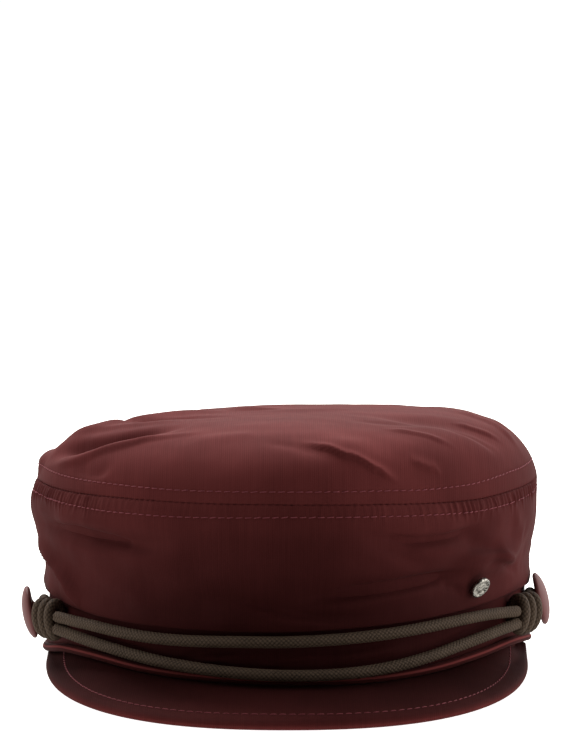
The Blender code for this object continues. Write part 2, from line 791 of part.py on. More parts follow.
def main():
    for old in list(bpy.data.objects):
        bpy.data.objects.remove(old)
    make_headband()
    make_piping()
    panel = make_side_panel()
    make_tip()
    make_peak()
    make_strand("cord_upper", UPPER_ROUTE)
    make_strand("cord_lower", LOWER_ROUTE)
    make_knot("cord_knot_left", -1, KNOT_HEIGHT_LEFT, EYE_HEIGHT_LEFT)
    make_knot("cord_knot_right", 1, KNOT_HEIGHT_RIGHT, EYE_HEIGHT_RIGHT)
    make_button(
        "button_left",
        -1,
        BUTTON_TILT_LEFT,
        BUTTON_HEIGHT_LEFT,
        EYE_HEIGHT_LEFT,
        SHANK_LENGTH_LEFT,
    )
    make_button(
        "button_right",
        1,
        BUTTON_TILT_RIGHT,
        BUTTON_HEIGHT_RIGHT,
        EYE_HEIGHT_RIGHT,
        SHANK_LENGTH_RIGHT,
    )
    make_stud(panel)


main()
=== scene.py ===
# %% [markdown]
# # A soft-crowned kepi cap with a corded front
# The cap is cut from one burgundy gabardine: a domed tip, a side panel that blouses
# over a stiff headband, and a short covered peak. A doubled cord runs from a knot and
# a button on one side to those on the other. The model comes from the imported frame,
# and this script gives it its cloth, folds, stitches, braid and metal.

# %% The frame that everything is built on
import json
import math
import random
from collections import namedtuple

import bpy
import numpy as np
from mathutils import Matrix, Vector, noise
from mathutils.bvhtree import BVHTree

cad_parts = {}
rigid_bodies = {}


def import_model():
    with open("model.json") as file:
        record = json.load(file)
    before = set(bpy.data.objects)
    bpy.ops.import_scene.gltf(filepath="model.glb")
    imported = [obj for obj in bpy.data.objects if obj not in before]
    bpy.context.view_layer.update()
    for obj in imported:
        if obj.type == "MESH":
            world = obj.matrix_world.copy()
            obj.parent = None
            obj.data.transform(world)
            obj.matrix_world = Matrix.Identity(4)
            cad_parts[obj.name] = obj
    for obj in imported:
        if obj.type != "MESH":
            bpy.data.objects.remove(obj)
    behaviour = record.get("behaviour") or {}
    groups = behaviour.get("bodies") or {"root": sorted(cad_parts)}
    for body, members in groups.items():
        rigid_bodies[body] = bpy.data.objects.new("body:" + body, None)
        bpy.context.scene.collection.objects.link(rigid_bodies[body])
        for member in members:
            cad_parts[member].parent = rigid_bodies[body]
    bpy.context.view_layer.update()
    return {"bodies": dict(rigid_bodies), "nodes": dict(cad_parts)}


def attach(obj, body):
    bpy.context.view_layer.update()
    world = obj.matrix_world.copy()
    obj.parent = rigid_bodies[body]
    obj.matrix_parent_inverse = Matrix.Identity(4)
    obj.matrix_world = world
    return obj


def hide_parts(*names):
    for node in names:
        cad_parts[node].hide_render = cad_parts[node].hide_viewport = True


for old in list(bpy.data.objects):
    bpy.data.objects.remove(old)
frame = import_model()
bpy.ops.object.select_all(action="DESELECT")
BODY = next(iter(frame["bodies"]))
MM = 0.001
UP = np.array([0, 0, 1.0])
print("the frame has", sorted(frame["nodes"]), "on", BODY)

# %% [markdown]
# ## The camera
# A product picture is taken with a long lens from a little above the table. The
# camera aims at a point over the middle of the cap, and its shift puts that point
# where the picture has it, low in a tall frame.

# %% The camera
PICTURE_WIDTH = 570
PICTURE_HEIGHT = 754
PIXELS_PER_MM = 2.672
AIM_PIXEL = (287, 570)
AIM_UP = 31 * MM
CAMERA_DISTANCE = 1.10
CAMERA_ELEVATION = math.radians(8.5)
SENSOR_MM = 36.0

aim_way = Vector((0, math.cos(CAMERA_ELEVATION), -math.sin(CAMERA_ELEVATION)))
aim_rise = Vector((0, math.sin(CAMERA_ELEVATION), math.cos(CAMERA_ELEVATION)))
bpy.ops.object.camera_add(
    location=AIM_UP * aim_rise - CAMERA_DISTANCE * aim_way,
    rotation=(math.pi / 2 - CAMERA_ELEVATION, 0, 0),
)
camera = bpy.context.active_object
camera.data.sensor_width = SENSOR_MM
camera.data.lens = SENSOR_MM * PIXELS_PER_MM * CAMERA_DISTANCE / MM / PICTURE_HEIGHT
camera.data.shift_x = (PICTURE_WIDTH / 2 - AIM_PIXEL[0]) / PICTURE_HEIGHT
camera.data.shift_y = (AIM_PIXEL[1] - PICTURE_HEIGHT / 2) / PICTURE_HEIGHT
bpy.context.scene.camera = camera
print("lens", round(camera.data.lens, 1), "mm")

# %% [markdown]
# ## The oval
# A hatter starts from the head's oval, and so does this script. Its half width, half
# length and widest place are read from the headband. A place on the cap is then an
# angle from the front, a distance out from the oval, and a height.

# %% The oval of the headband
def cad_points(node):
    """The corner points of a frame node, each once."""
    points = np.array([v.co for v in frame["nodes"][node].data.vertices])
    return np.unique(np.round(points, 6), axis=0)


band_points = cad_points("headband")
HALF_LENGTH = -band_points[:, 1].min()
HALF_WIDTH, WIDEST = band_points[band_points[:, 0].argmax(), :2]


def oval(angle, out=0.0, height=0.0):
    """Points at angles round the oval, and the outward normals there."""
    turn = np.radians(angle)
    across, along = np.sin(turn), np.cos(turn)
    level = 0 * turn
    ahead = WIDEST * across**2 - HALF_LENGTH * along
    points = np.stack([HALF_WIDTH * across, ahead, level + height], -1)
    slope = HALF_LENGTH * across + 2 * WIDEST * across * along
    normals = np.stack([slope, -HALF_WIDTH * along, level], -1)
    normals /= np.linalg.norm(normals, axis=-1, keepdims=True)
    return points + (level + out)[..., None] * normals, normals


def round_angles(count):
    """Even angles round the cap, from the back and to the left first."""
    return -180 + 360 * np.arange(count) / count


print("half width, half length, widest:", HALF_WIDTH, HALF_LENGTH, WIDEST)

# %% [markdown]
# ## Curves through a few given places
# The frame's solids have 64 or 72 stations round the oval. Cloth is smoother than
# that, so two helpers carry values from few places to many: a periodic spline that
# runs round the cap, and a curve through rows that aren't evenly spaced.

# %% Smooth curves
def around(values, count):
    """Carries values at even stations round the cap to more of them."""
    n = len(values)
    column = (-1,) + (1,) * (values.ndim - 1)
    filter_weights = ((4 + 2 * np.cos(2 * np.pi * np.arange(n) / n)) / 6).reshape(column)
    knots = np.fft.ifft(np.fft.fft(values, axis=0) / filter_weights, axis=0).real
    place = np.arange(count) * n / count
    i = np.floor(place).astype(int)
    u = (place - i).reshape(column)
    return (
        (1 - u) ** 3 * knots[(i - 1) % n]
        + (3 * u**3 - 6 * u**2 + 4) * knots[i % n]
        + (-3 * u**3 + 3 * u**2 + 3 * u + 1) * knots[(i + 1) % n]
        + u**3 * knots[(i + 2) % n]
    ) / 6


def between(rows, places, at):
    """Carries rows at given places to other places, on a smooth curve through them."""
    rows, places, at = (np.asarray(values, float) for values in (rows, places, at))
    slopes = np.gradient(rows, places, axis=0)
    i = np.clip(np.searchsorted(places, at, side="right") - 1, 0, len(places) - 2)
    column = (-1,) + (1,) * (rows.ndim - 1)
    span = (places[i + 1] - places[i]).reshape(column)
    u = (at - places[i]).reshape(column) / span
    return (
        (2 * u**3 - 3 * u**2 + 1) * rows[i]
        + (u**3 - 2 * u**2 + u) * span * slopes[i]
        + (3 * u**2 - 2 * u**3) * rows[i + 1]
        + (u**3 - u**2) * span * slopes[i + 1]
    )


def run_lengths(points):
    """How far along a line of points each of them is."""
    return np.concatenate([[0], np.cumsum(np.linalg.norm(np.diff(points, axis=0), axis=1))])


def ring_closed(points):
    """A ring of points, with its first one again at the end."""
    return np.concatenate([points, points[:1]])


def at_lengths(at, lengths, points):
    """The points at given lengths along a line."""
    return np.stack([np.interp(at, lengths, points[:, k]) for k in range(3)], -1)


def zoned(*zones):
    """Places from 0 up, in zones that each have an end and a number of even steps."""
    places = [0.0]
    for end, steps in zones:
        places += list(np.linspace(places[-1], end, steps + 1)[1:])
    return np.array(places)


def by_station(node, count):
    """A node's points in one row for each station, from low to high."""
    points = cad_points(node)
    stands, normals = oval(round_angles(count))
    away = points[:, None, :2] - stands[None, :, :2]
    out = (away * normals[None, :, :2]).sum(-1)
    aside = abs(away[..., 0] * normals[None, :, 1] - away[..., 1] * normals[None, :, 0])
    aside[out < -HALF_WIDTH / 2] = HALF_WIDTH
    nearest = aside.argmin(1)
    rows = [points[nearest == i] for i in range(count)]
    return np.array([row[np.argsort(row[:, 2], kind="stable")] for row in rows])


# %% [markdown]
# ## The cord
# Two strands of a round braided cord, 4 mm thick, lie across the front. Each comes
# out of one knot, rests on the band and goes into the other knot. Their routes are
# the ones that the frame's tubes follow.

# %% The routes of the two strands
CORD_DIAMETER = 4.0 * MM
ROUTE_STEPS = 240
ROUTE_ANGLES = (-59.3, -54, -48, -41, -32, -22, -11, 0, 11, 22, 32, 41, 48, 54, 59.3)
# How high a strand lies, and how far its middle stands off the band, in millimetres
UPPER_ROUTE = (
    (21.4, 21.2, 21.0, 20.6, 20.3, 20.5, 21.2, 21.5, 22.1, 22.9, 23.8, 24.4, 24.5, 24.1, 23.4),
    (6.2, 4.4, 3.1, 2.5, 2.5, 2.5, 2.5, 2.5, 2.5, 2.5, 2.5, 2.5, 3.1, 4.4, 6.2),
)
LOWER_ROUTE = (
    (17.0, 16.2, 15.2, 14.3, 13.0, 11.8, 10.8, 10.2, 10.3, 11.4, 13.4, 15.6, 17.0, 18.2, 19.0),
    (6.4, 4.8, 3.5, 3.0, 3.0, 3.4, 3.9, 4.1, 4.0, 3.6, 3.1, 3.0, 3.5, 4.8, 6.4),
)


def strand_path(route):
    """The middle line of a strand, as points along its route."""
    angles = np.linspace(ROUTE_ANGLES[0], ROUTE_ANGLES[-1], ROUTE_STEPS)
    height, off = between(np.transpose(route), ROUTE_ANGLES, angles).T * MM
    return oval(angles, off, height)[0]


def length_of(path):
    """The length of a line of points."""
    return float(run_lengths(path)[-1])


upper_path = strand_path(UPPER_ROUTE)
lower_path = strand_path(LOWER_ROUTE)
print("strands:", round(length_of(upper_path), 4), round(length_of(lower_path), 4), "m")

# %% [markdown]
# ## From grids of points to meshes
# Folded cloth and braided cord have thousands of small places that follow a rule.
# Moving them by hand would take days, so they are made as grids of points, and one
# helper skins a grid. The cloth's own lengths go to a UV map, in metres, so that a
# weave keeps its size on every panel.

# %% Skinning a grid of points
def new_piece(name, points, faces):
    """A smooth mesh object in the scene."""
    mesh = bpy.data.meshes.new(name)
    mesh.from_pydata(points, [], faces)
    mesh.shade_smooth()
    made = bpy.data.objects.new(name, mesh)
    bpy.context.scene.collection.objects.link(made)
    return made


def skinned(name, rings, across=None, up=None, closed=True, capped=False):
    """A mesh object from rings of points, with the cloth's lengths as its UV map."""
    rings = np.asarray(rings, float)
    count, sides = rings.shape[:2]
    row = np.arange(count if closed else count - 1)[:, None]
    column = np.arange(sides)[None, :]
    next_row, next_column = (row + 1) % count, (column + 1) % sides
    corners = (row, column), (row, next_column), (next_row, next_column), (next_row, column)
    faces = np.stack([r * sides + c for r, c in corners], -1).reshape(-1, 4).tolist()
    if capped:
        faces.append(list(range(sides))[::-1])
        faces.append([(count - 1) * sides + i for i in range(sides)])
    made = new_piece(name, rings.reshape(-1, 3).tolist(), faces)
    if across is not None:
        u, v = (np.broadcast_to(lengths, (count, sides + 1)) for lengths in (across, up))
        corners = (row, column), (row, column + 1), (next_row, column + 1), (next_row, column)
        uv = np.stack([np.stack([u[r, c], v[r, c]], -1) for r, c in corners], 2)
        flat = np.zeros(2 * len(made.data.loops), np.float32)
        flat[: uv.size] = uv.ravel()
        made.data.uv_layers.new(name="cloth").data.foreach_set("uv", flat)
    return made


def wall(name, outer, facing, thickness, inner_rows, across, up):
    """A panel: its outer face from the hem up, and a plainer inner face down again."""
    rows = np.linspace(len(outer) - 1, 0, inner_rows).round().astype(int)
    rings = np.concatenate([outer, outer[rows] - thickness * facing[rows]])
    return skinned(name, rings, across, np.concatenate([up, up[rows]])[:, None])


def grid_normals(grid):
    """Outward normals of a grid whose rows run round the cap."""
    round_way = np.roll(grid, -1, axis=1) - np.roll(grid, 1, axis=1)
    up_way = np.gradient(grid, axis=0)
    normals = np.cross(round_way, up_way)
    return normals / np.maximum(np.linalg.norm(normals, axis=-1, keepdims=True), 1e-12)


def finish_piece(piece, slot, *nodes):
    """Lets a piece ride on the body, in place of its frame nodes."""
    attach(piece, BODY)
    if nodes:
        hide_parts(*nodes)
    print(piece.name, "has", sum(len(p.vertices) - 2 for p in piece.data.polygons), "triangles")


def take(*pieces):
    """Selects pieces and no others, with the first of them active."""
    bpy.ops.object.select_all(action="DESELECT")
    for piece in pieces:
        piece.select_set(True)
    bpy.context.view_layer.objects.active = pieces[0]


# %% [markdown]
# ## Colours and the node helper
# Colours are written as they look on a screen, in hex, and one function turns them to
# the linear values that a renderer adds up. One helper adds a shader node with its
# settings and links, and the short ones after it add the kinds that come up often.

# %% Colours and nodes
PRINCIPLED = "Principled BSDF"


def linear(code):
    """The linear colour of an sRGB hex code."""
    parts = [int(code[i : i + 2], 16) / 255 for i in (1, 3, 5)]
    return (*(c / 12.92 if c <= 0.04045 else ((c + 0.055) / 1.055) ** 2.4 for c in parts), 1.0)


def node(tree, kind, settings=None, **links):
    """Adds a node. Settings are its own properties, links its sockets or their values."""
    made = tree.nodes.new("ShaderNode" + kind)
    for key, value in (settings or {}).items():
        setattr(made, key, value)
    for key, value in links.items():
        key = key.replace("_", " ")
        socket = made.inputs[int(key[1:])] if key[0] == "i" and key[1:].isdigit() else made.inputs[key]
        if isinstance(value, bpy.types.NodeSocket):
            tree.links.new(value, socket)
        else:
            socket.default_value = value
    return made


def maths(tree, operation, *values):
    """A sum on values or sockets."""
    slots = {f"i{i}": value for i, value in enumerate(values)}
    return node(tree, "Math", {"operation": operation}, **slots).outputs[0]


def ramp(tree, value, low, high, first=0.0, last=1.0, shape="LINEAR"):
    """A value that goes from first to last while another goes from low to high."""
    ends = {"From_Min": low, "From_Max": high, "To_Min": first, "To_Max": last}
    return node(tree, "MapRange", {"interpolation_type": shape}, Value=value, **ends).outputs[0]


def either(tree, factor, first, last):
    """A value between two others."""
    return node(tree, "Mix", {"data_type": "FLOAT"}, i0=factor, i2=first, i3=last).outputs[0]


def noise_at(tree, vector, scale, detail, dimensions="3D"):
    """Soft noise at a place."""
    settings = {"noise_dimensions": dimensions}
    return node(tree, "TexNoise", settings, Vector=vector, Scale=scale, Detail=detail).outputs["Fac"]


def place_in(tree):
    """The place on the object, whose axes are those of the cap."""
    return node(tree, "TexCoord").outputs["Object"]


def axes(tree, vector):
    """A vector's X, Y and Z."""
    return node(tree, "SeparateXYZ", i0=vector).outputs


def new_material(name, **slots):
    """A named material and its node tree, with plain values in its Principled shader."""
    made = bpy.data.materials.new(name)
    made.use_nodes = True
    for key, value in slots.items():
        made.node_tree.nodes[PRINCIPLED].inputs[key.replace("_", " ")].default_value = value
    return made, made.node_tree


def feed(tree, slot, value):
    """Links a socket to a slot of the Principled shader."""
    tree.links.new(value, tree.nodes[PRINCIPLED].inputs[slot])


def colour_by(tree, factor, first, last):
    """Turns the shader's colour from one to another as a value grows."""
    mixed = node(tree, "Mix", {"data_type": "RGBA"}, Factor=factor, i6=first, i7=last)
    feed(tree, "Base Color", mixed.outputs[2])


def bump_by(tree, height, distance, strength):
    """Gives the shader the relief of a value."""
    bump = node(tree, "Bump", Height=height, Distance=distance, Strength=strength)
    feed(tree, "Normal", bump.outputs["Normal"])


def put_on(piece, made):
    """Gives a piece one material."""
    piece.data.materials.clear()
    piece.data.materials.append(made)
    return piece


# %% [markdown]
# ## The studio
# The picture was taken in a white light tent that is open towards the camera. Light
# comes from above and behind, so the top of the crown shines and the front is dark.
# The world is that tent: bright behind and at the sides, dim in front, white where
# seen. Each light grows from none to its strength as its direction is neared.

# %% The world, the floor and the soft lights
TentLight = namedtuple("TentLight", "direction start end strength")
TENT_LIGHTS = (
    TentLight((0.0, 0.85, 0.53), 0.55, 1.0, 0.90),
    TentLight((0.0, 0.97, 0.26), 0.75, 1.0, 0.90),
    TentLight((0.96, 0.20, 0.20), 0.50, 1.0, 2.75),
    TentLight((-0.96, 0.20, 0.20), 0.50, 1.0, 1.25),
)
SEEN_TENT = 1.05
SEEN_FLOOR = 0.86
FLOOR_SIZE = 8.0
LIGHT_AIM = (0, 0, 0.05)
FLOOR_GLOW = (-0.27, -0.16, 0.03, 0.74)

world = bpy.data.worlds.new("light_tent")
world.use_nodes = True
bpy.context.scene.world = world
tree = world.node_tree
backdrop = tree.nodes["Background"]
way = node(tree, "TexCoord").outputs["Generated"]
tent = 0.0
for light in TENT_LIGHTS:
    toward = node(tree, "VectorMath", {"operation": "DOT_PRODUCT"}, i0=way, i1=light.direction)
    glow = ramp(tree, toward.outputs["Value"], light.start, light.end, 0.0, light.strength, "SMOOTHSTEP")
    tent = maths(tree, "ADD", tent, glow)
seen = node(tree, "LightPath").outputs["Is Camera Ray"]
backdrop.inputs["Color"].default_value = (1.0, 1.0, 1.0, 1.0)
tree.links.new(either(tree, seen, tent, SEEN_TENT), backdrop.inputs["Strength"])

# The table is white acrylic lit from below, and darker further towards the camera.
bpy.ops.mesh.primitive_plane_add(size=FLOOR_SIZE)
floor = bpy.context.active_object
floor.name = "studio_floor"
acrylic, tree = new_material(
    "white_acrylic_table", Roughness=0.9, Specular_IOR_Level=0.0, Emission_Color=linear("#FFFFFF")
)
glow = ramp(tree, axes(tree, place_in(tree))["Y"], *FLOOR_GLOW, "SMOOTHSTEP")
seen = node(tree, "LightPath").outputs["Is Camera Ray"]
feed(tree, "Emission Strength", either(tree, seen, glow, SEEN_FLOOR))
colour_by(tree, seen, linear("#8F8E8B"), linear("#F2F1EC"))
put_on(floor, acrylic)


def soft_light(name, place, aim, size, power):
    """A soft box that points from its place to its aim."""
    bpy.ops.object.light_add(type="AREA", location=place)
    box = bpy.context.active_object
    box.name = name
    box.data.shape = "RECTANGLE"
    box.data.size, box.data.size_y = size
    box.data.energy = power
    box.rotation_euler = (Vector(aim) - Vector(place)).to_track_quat("-Z", "Y").to_euler()


soft_light("back_box", (-0.12, 0.56, 0.88), LIGHT_AIM, (0.80, 0.26), 14.0)
soft_light("left_box", (-0.70, -0.10, 0.75), LIGHT_AIM, (0.40, 0.40), 1.5)
bpy.context.scene.view_settings.view_transform = "Standard"
print("studio ready")

# %% [markdown]
# ## The gabardine
# Gabardine is a dense, smooth, slightly lustrous twill with a fine rib. Here the rib
# is 0.72 mm wide and runs up the side and from front to back over the tip. It is
# read from the cloth's own lengths. The rib is drawn a little coarser than the real
# one, so that it shows, and the bump is the height of the yarns.

# %% The gabardine
RIB = 0.72 * MM
PICK = 0.50 * MM
YARN_HEIGHT = 0.008 * MM
# Each noise's stretch along and across the cloth, and its detail
SLUBS = ((1400.0, 45.0, 1.0), 2.0)
CLOUDS = ((30.0, 30.0, 1.0), 3.0)


def gabardine(name, dark, light, sheen):
    """Burgundy gabardine whose rib follows the UV map named cloth."""
    made, tree = new_material(
        name,
        Roughness=0.75,
        Specular_IOR_Level=0.02,
        Sheen_Weight=sheen,
        Sheen_Roughness=0.30,
        Sheen_Tint=linear("#E8C8C4"),
    )
    lengths = node(tree, "UVMap", {"uv_map": "cloth"}).outputs["UV"]
    rib, pick = (
        maths(tree, "SINE", maths(tree, "MULTIPLY", axes(tree, lengths)[axis], 2 * math.pi / size))
        for axis, size in (("X", RIB), ("Y", PICK))
    )
    slub, cloud = (
        noise_at(tree, node(tree, "Mapping", Vector=lengths, Scale=scale).outputs[0], 1.0, detail, "2D")
        for scale, detail in (SLUBS, CLOUDS)
    )
    yarn = maths(tree, "MULTIPLY_ADD", pick, 0.25, rib)
    shade = maths(tree, "MULTIPLY_ADD", yarn, 0.05, maths(tree, "MULTIPLY", slub, 0.2))
    shade = maths(tree, "MULTIPLY_ADD", cloud, 0.5, shade)
    colour_by(tree, ramp(tree, shade, 0.20, 0.55), linear(dark), linear(light))
    bump_by(tree, maths(tree, "MULTIPLY_ADD", slub, 0.8, yarn), YARN_HEIGHT, 1.0)
    return made


def colour_of(made):
    """The node tree of a material, and the socket that its colour comes from."""
    tree = made.node_tree
    return tree, tree.nodes[PRINCIPLED].inputs["Base Color"].links[0].from_socket


def paint_light_and_shade(made, strength):
    """Paints light and shade into a cloth's colour, darker or lighter by a value that changes from place
    to place.
    """
    tree, colour = colour_of(made)
    scaled = node(tree, "VectorMath", {"operation": "SCALE"}, i0=colour, Scale=strength)
    feed(tree, "Base Color", scaled.outputs["Vector"])


# Painted light and shade on the crown's cloth: painted light on the dome, which faces up,
# and in front painted shade low down, painted light at the seam and painted shade above it.
DOME_PAINTED_LIGHT = (0.066, 0.080, 1.00, 1.30)
FRONT = (-0.035, -0.085)
FRONT_PAINTED_LIGHT_AND_SHADE = ((0.030, 0.060, 0.50, 1.10), (0.056, 0.070, 1.00, 1.30), (0.074, 0.084, 1.00, 0.88))
cloth = gabardine("burgundy_gabardine", "#471E1D", "#572726", 0.045)
tree = cloth.node_tree
place = axes(tree, place_in(tree))
front_light_and_shade = 1.0
for fade in FRONT_PAINTED_LIGHT_AND_SHADE:
    front_light_and_shade = maths(tree, "MULTIPLY", front_light_and_shade, ramp(tree, place["Z"], *fade))
front_light_and_shade = either(tree, ramp(tree, place["Y"], *FRONT), 1.0, front_light_and_shade)
paint_light_and_shade(cloth, maths(tree, "MULTIPLY", front_light_and_shade, ramp(tree, place["Z"], *DOME_PAINTED_LIGHT)))

# The peak's cloth is a darker copy of the crown's, for painted shade. It has painted shade
# darkest beside the band, and painted light over the lip, where the edge turns from the top.
PEAK_PAINTED_SHADE = (1.02, 1.45, 0.50, 1.10)
LIP_PAINTED_LIGHT = (0.90, 0.10, 1.0, 2.3)
peak_shaded_cloth = gabardine("burgundy_gabardine_peak_painted_shade", "#361413", "#451C1B", 0.010)
tree = peak_shaded_cloth.node_tree
reach = node(
    tree,
    "Mapping",
    Vector=place_in(tree),
    Location=(0.0, -WIDEST / (HALF_LENGTH + WIDEST), 0.0),
    Scale=(1 / HALF_WIDTH, 1 / (HALF_LENGTH + WIDEST), 0.0),
)
reach = node(tree, "VectorMath", {"operation": "LENGTH"}, i0=reach.outputs[0]).outputs["Value"]
facing_up = axes(tree, node(tree, "NewGeometry").outputs["Normal"])["Z"]
paint_light_and_shade(
    peak_shaded_cloth, maths(tree, "MULTIPLY", ramp(tree, reach, *PEAK_PAINTED_SHADE), ramp(tree, facing_up, *LIP_PAINTED_LIGHT))
)

# On the band, painted shade is darkest in front, where the cord lies across it.
BAND_PAINTED_SHADE = (-0.085, -0.02, 0.42, 0.95)
band_cloth = gabardine("burgundy_gabardine_on_band", "#471E1D", "#572726", 0.03)
tree = band_cloth.node_tree
paint_light_and_shade(band_cloth, ramp(tree, axes(tree, place_in(tree))["Y"], *BAND_PAINTED_SHADE))
print("made", cloth.name, peak_shaded_cloth.name, band_cloth.name)

# %% [markdown]
# ## The braid
# The cord is a waxed cotton braid: yarns wind both ways round it and pass over and
# under each other. Each crossing is a small diamond, and its height is part of the
# mesh. The height is also kept as an attribute, so the material can paint shade into the gaps.

# %% Making a braided cord
BRAID_YARNS = 8
BRAID_STEP = 1.55 * MM
BRAID_DEPTH = 0.36 * MM
BRAID_SIDES = 54
BRAID_RING = 0.22 * MM
BRAID_PROUD = 0.25
YARN_SAG = 0.45


def evenly(path, step):
    """The same line of points with even steps, and how far along it each of them is."""
    lengths = run_lengths(path)
    at = np.linspace(0, lengths[-1], max(round(lengths[-1] / step), 2) + 1)
    return at_lengths(at, lengths, path), at


def frames_along(path):
    """Two directions across a line at each of its points, that turn as little as they can."""
    ways = np.gradient(path, axis=0)
    ways /= np.linalg.norm(ways, axis=1, keepdims=True)
    side = np.cross(ways[0], UP)
    sides = []
    for direction in ways:
        side = side - direction * (side @ direction)
        side = side / np.linalg.norm(side)
        sides.append(side)
    sides = np.array(sides)
    return sides, np.cross(ways, sides)


def braid_relief(turn, length):
    """How high the braid stands at a place, from 0 in a gap to 1 on a yarn."""
    one_way = BRAID_YARNS * turn + length / BRAID_STEP
    other_way = BRAID_YARNS * turn - length / BRAID_STEP
    over = (np.floor(one_way) + np.floor(other_way)) % 2 < 1
    across = np.where(over, one_way, other_way) % 1 * 2 - 1
    along = np.where(over, other_way, one_way) % 1 * 2 - 1
    return np.sqrt(np.maximum(1 - across**2, 0)) * (1 - YARN_SAG * along**2)


def braided(path, diameter, depth=BRAID_DEPTH):
    """The rings of a braided cord along a path, and how high the braid stands there."""
    line, length = evenly(path, BRAID_RING)
    sides, ups = frames_along(line)
    turn = np.arange(BRAID_SIDES) / BRAID_SIDES
    relief = braid_relief(turn[None, :], length[:, None])
    radius = diameter / 2 + BRAID_PROUD * depth - depth * (1 - relief)
    angle = 2 * np.pi * turn[None, :, None]
    rings = line[:, None] + radius[..., None] * (
        np.cos(angle) * sides[:, None] + np.sin(angle) * ups[:, None]
    )
    return rings, relief


def braided_cord(name, path, diameter, depth=BRAID_DEPTH):
    """A braided cord as one closed piece."""
    rings, relief = braided(path, diameter, depth)
    made = skinned(name, rings, closed=False, capped=True)
    layer = made.data.attributes.new("relief", "FLOAT", "POINT")
    layer.data.foreach_set("value", relief.astype(np.float32).ravel())
    return made


# %% The cord's cotton, with painted shade in the gaps between the yarns
cotton, tree = new_material("taupe_waxed_cotton", Roughness=0.70, Specular_IOR_Level=0.10)
relief = node(tree, "Attribute", {"attribute_name": "relief"}).outputs["Fac"]
fibre = noise_at(tree, place_in(tree), 1600.0, 2.0)
worn = noise_at(tree, place_in(tree), 120.0, 2.0)
tone_and_gap_shade = maths(tree, "MULTIPLY_ADD", worn, 0.30, maths(tree, "MULTIPLY_ADD", fibre, 0.35, relief))
colour_by(tree, ramp(tree, tone_and_gap_shade, 0.35, 1.45), linear("#120E0A"), linear("#665445"))
bump_by(tree, fibre, 0.05 * MM, 0.8)

# %% The two strands
for name, path in (("cord_upper", upper_path), ("cord_lower", lower_path)):
    strand = put_on(braided_cord(name + "_braid", path, CORD_DIAMETER), cotton)
    finish_piece(strand, "cord_cotton", name)

# %% [markdown]
# ## The knots
# At each side the doubled cord goes round the button's shank as an eye, comes back
# through three tight turns, and runs out of them as the two strands.

# %% Knots of cord
KNOT_ANGLE = 64.5
KNOT_TURNS = 3
KNOT_HALF_DEPTH = 3.3 * MM
KNOT_HALF_HEIGHT = 5.5 * MM
KNOT_HEIGHTS = {-1: 19.2 * MM, 1: 21.2 * MM}
EYE_HEIGHTS = {-1: 18.0 * MM, 1: 20.6 * MM}
WRAP_TILT = math.radians(10.0)
WRAP_YAW = math.radians(15.0)
BUTTON_ANGLE = 79.0
SHANK_DIAMETER = 3.6 * MM
CLEARANCE = 0.3 * MM
EYE_RADIUS = SHANK_DIAMETER / 2 + CLEARANCE + CORD_DIAMETER / 2
TURN_PITCH = 1.06 * CORD_DIAMETER
KNOT_DEPTH = 0.22 * MM
KNOT_TAIL = 0.12
KNOT_SWELL = 0.06
TUCKED_OVER, TUCKED_SIZE = 0.22, 0.35
TURN_STEPS = 40
KNOT_OFF = 1.3 * CLEARANCE + CORD_DIAMETER / 2 + KNOT_HALF_DEPTH
CORE_PLACES = (-5.0 * MM, 0, 4.0 * MM)
CORE_APART = 2.1 * MM
CORE_STEPS = 120
CORE_SIZE = 0.97
EYE_STEPS = 14


def ways_at(angle, side):
    """The directions along the band from a button to the front, and out from the band."""
    outward = oval(angle)[1]
    return np.array([-outward[1], outward[0], 0.0]) * -side, outward


def knot_path(side):
    """The turns of a knot with both ends tucked in, its middle, and its way forward."""
    forward, outward = ways_at(side * KNOT_ANGLE, side)
    middle = oval(side * KNOT_ANGLE, KNOT_OFF, KNOT_HEIGHTS[side])[0]
    axis = forward * math.cos(WRAP_YAW) - outward * math.sin(WRAP_YAW)
    across = outward * math.cos(WRAP_YAW) + forward * math.sin(WRAP_YAW)
    tilt = -side * WRAP_TILT
    up = UP * math.cos(tilt) + np.cross(outward, UP) * math.sin(tilt)
    turns = np.linspace(-KNOT_TAIL, KNOT_TURNS + KNOT_TAIL, TURN_STEPS * KNOT_TURNS)
    to_end = np.minimum(turns + KNOT_TAIL, KNOT_TURNS + KNOT_TAIL - turns)
    size = 1 + KNOT_SWELL * np.cos(np.pi * (turns / KNOT_TURNS - 0.85))
    size *= np.clip(to_end / TUCKED_OVER, TUCKED_SIZE, 1.0)
    angle = 2 * np.pi * turns + math.pi
    path = (
        middle
        + ((turns - KNOT_TURNS / 2) * TURN_PITCH)[:, None] * axis
        + (size * np.cos(angle) * KNOT_HALF_HEIGHT)[:, None] * up
        + (size * np.sin(angle) * KNOT_HALF_DEPTH)[:, None] * across
    )
    return path, middle, forward


def eye_path(side):
    """The half turn of cord round a button's shank, from its top to its foot."""
    eye = oval(side * BUTTON_ANGLE, CLEARANCE + CORD_DIAMETER / 2, EYE_HEIGHTS[side])[0]
    forward = ways_at(side * BUTTON_ANGLE, side)[0]
    turn = np.linspace(0, math.pi, EYE_STEPS)[:, None]
    return eye + EYE_RADIUS * (np.cos(turn) * UP - np.sin(turn) * forward)


def join_pieces(name, pieces):
    """Joins pieces into the first of them."""
    take(*pieces)
    bpy.ops.object.join()
    pieces[0].name = name
    return pieces[0]


def smooth_path(points, steps):
    """A smooth line through a few points."""
    places = run_lengths(points)
    return between(points, places, np.linspace(0, places[-1], steps))


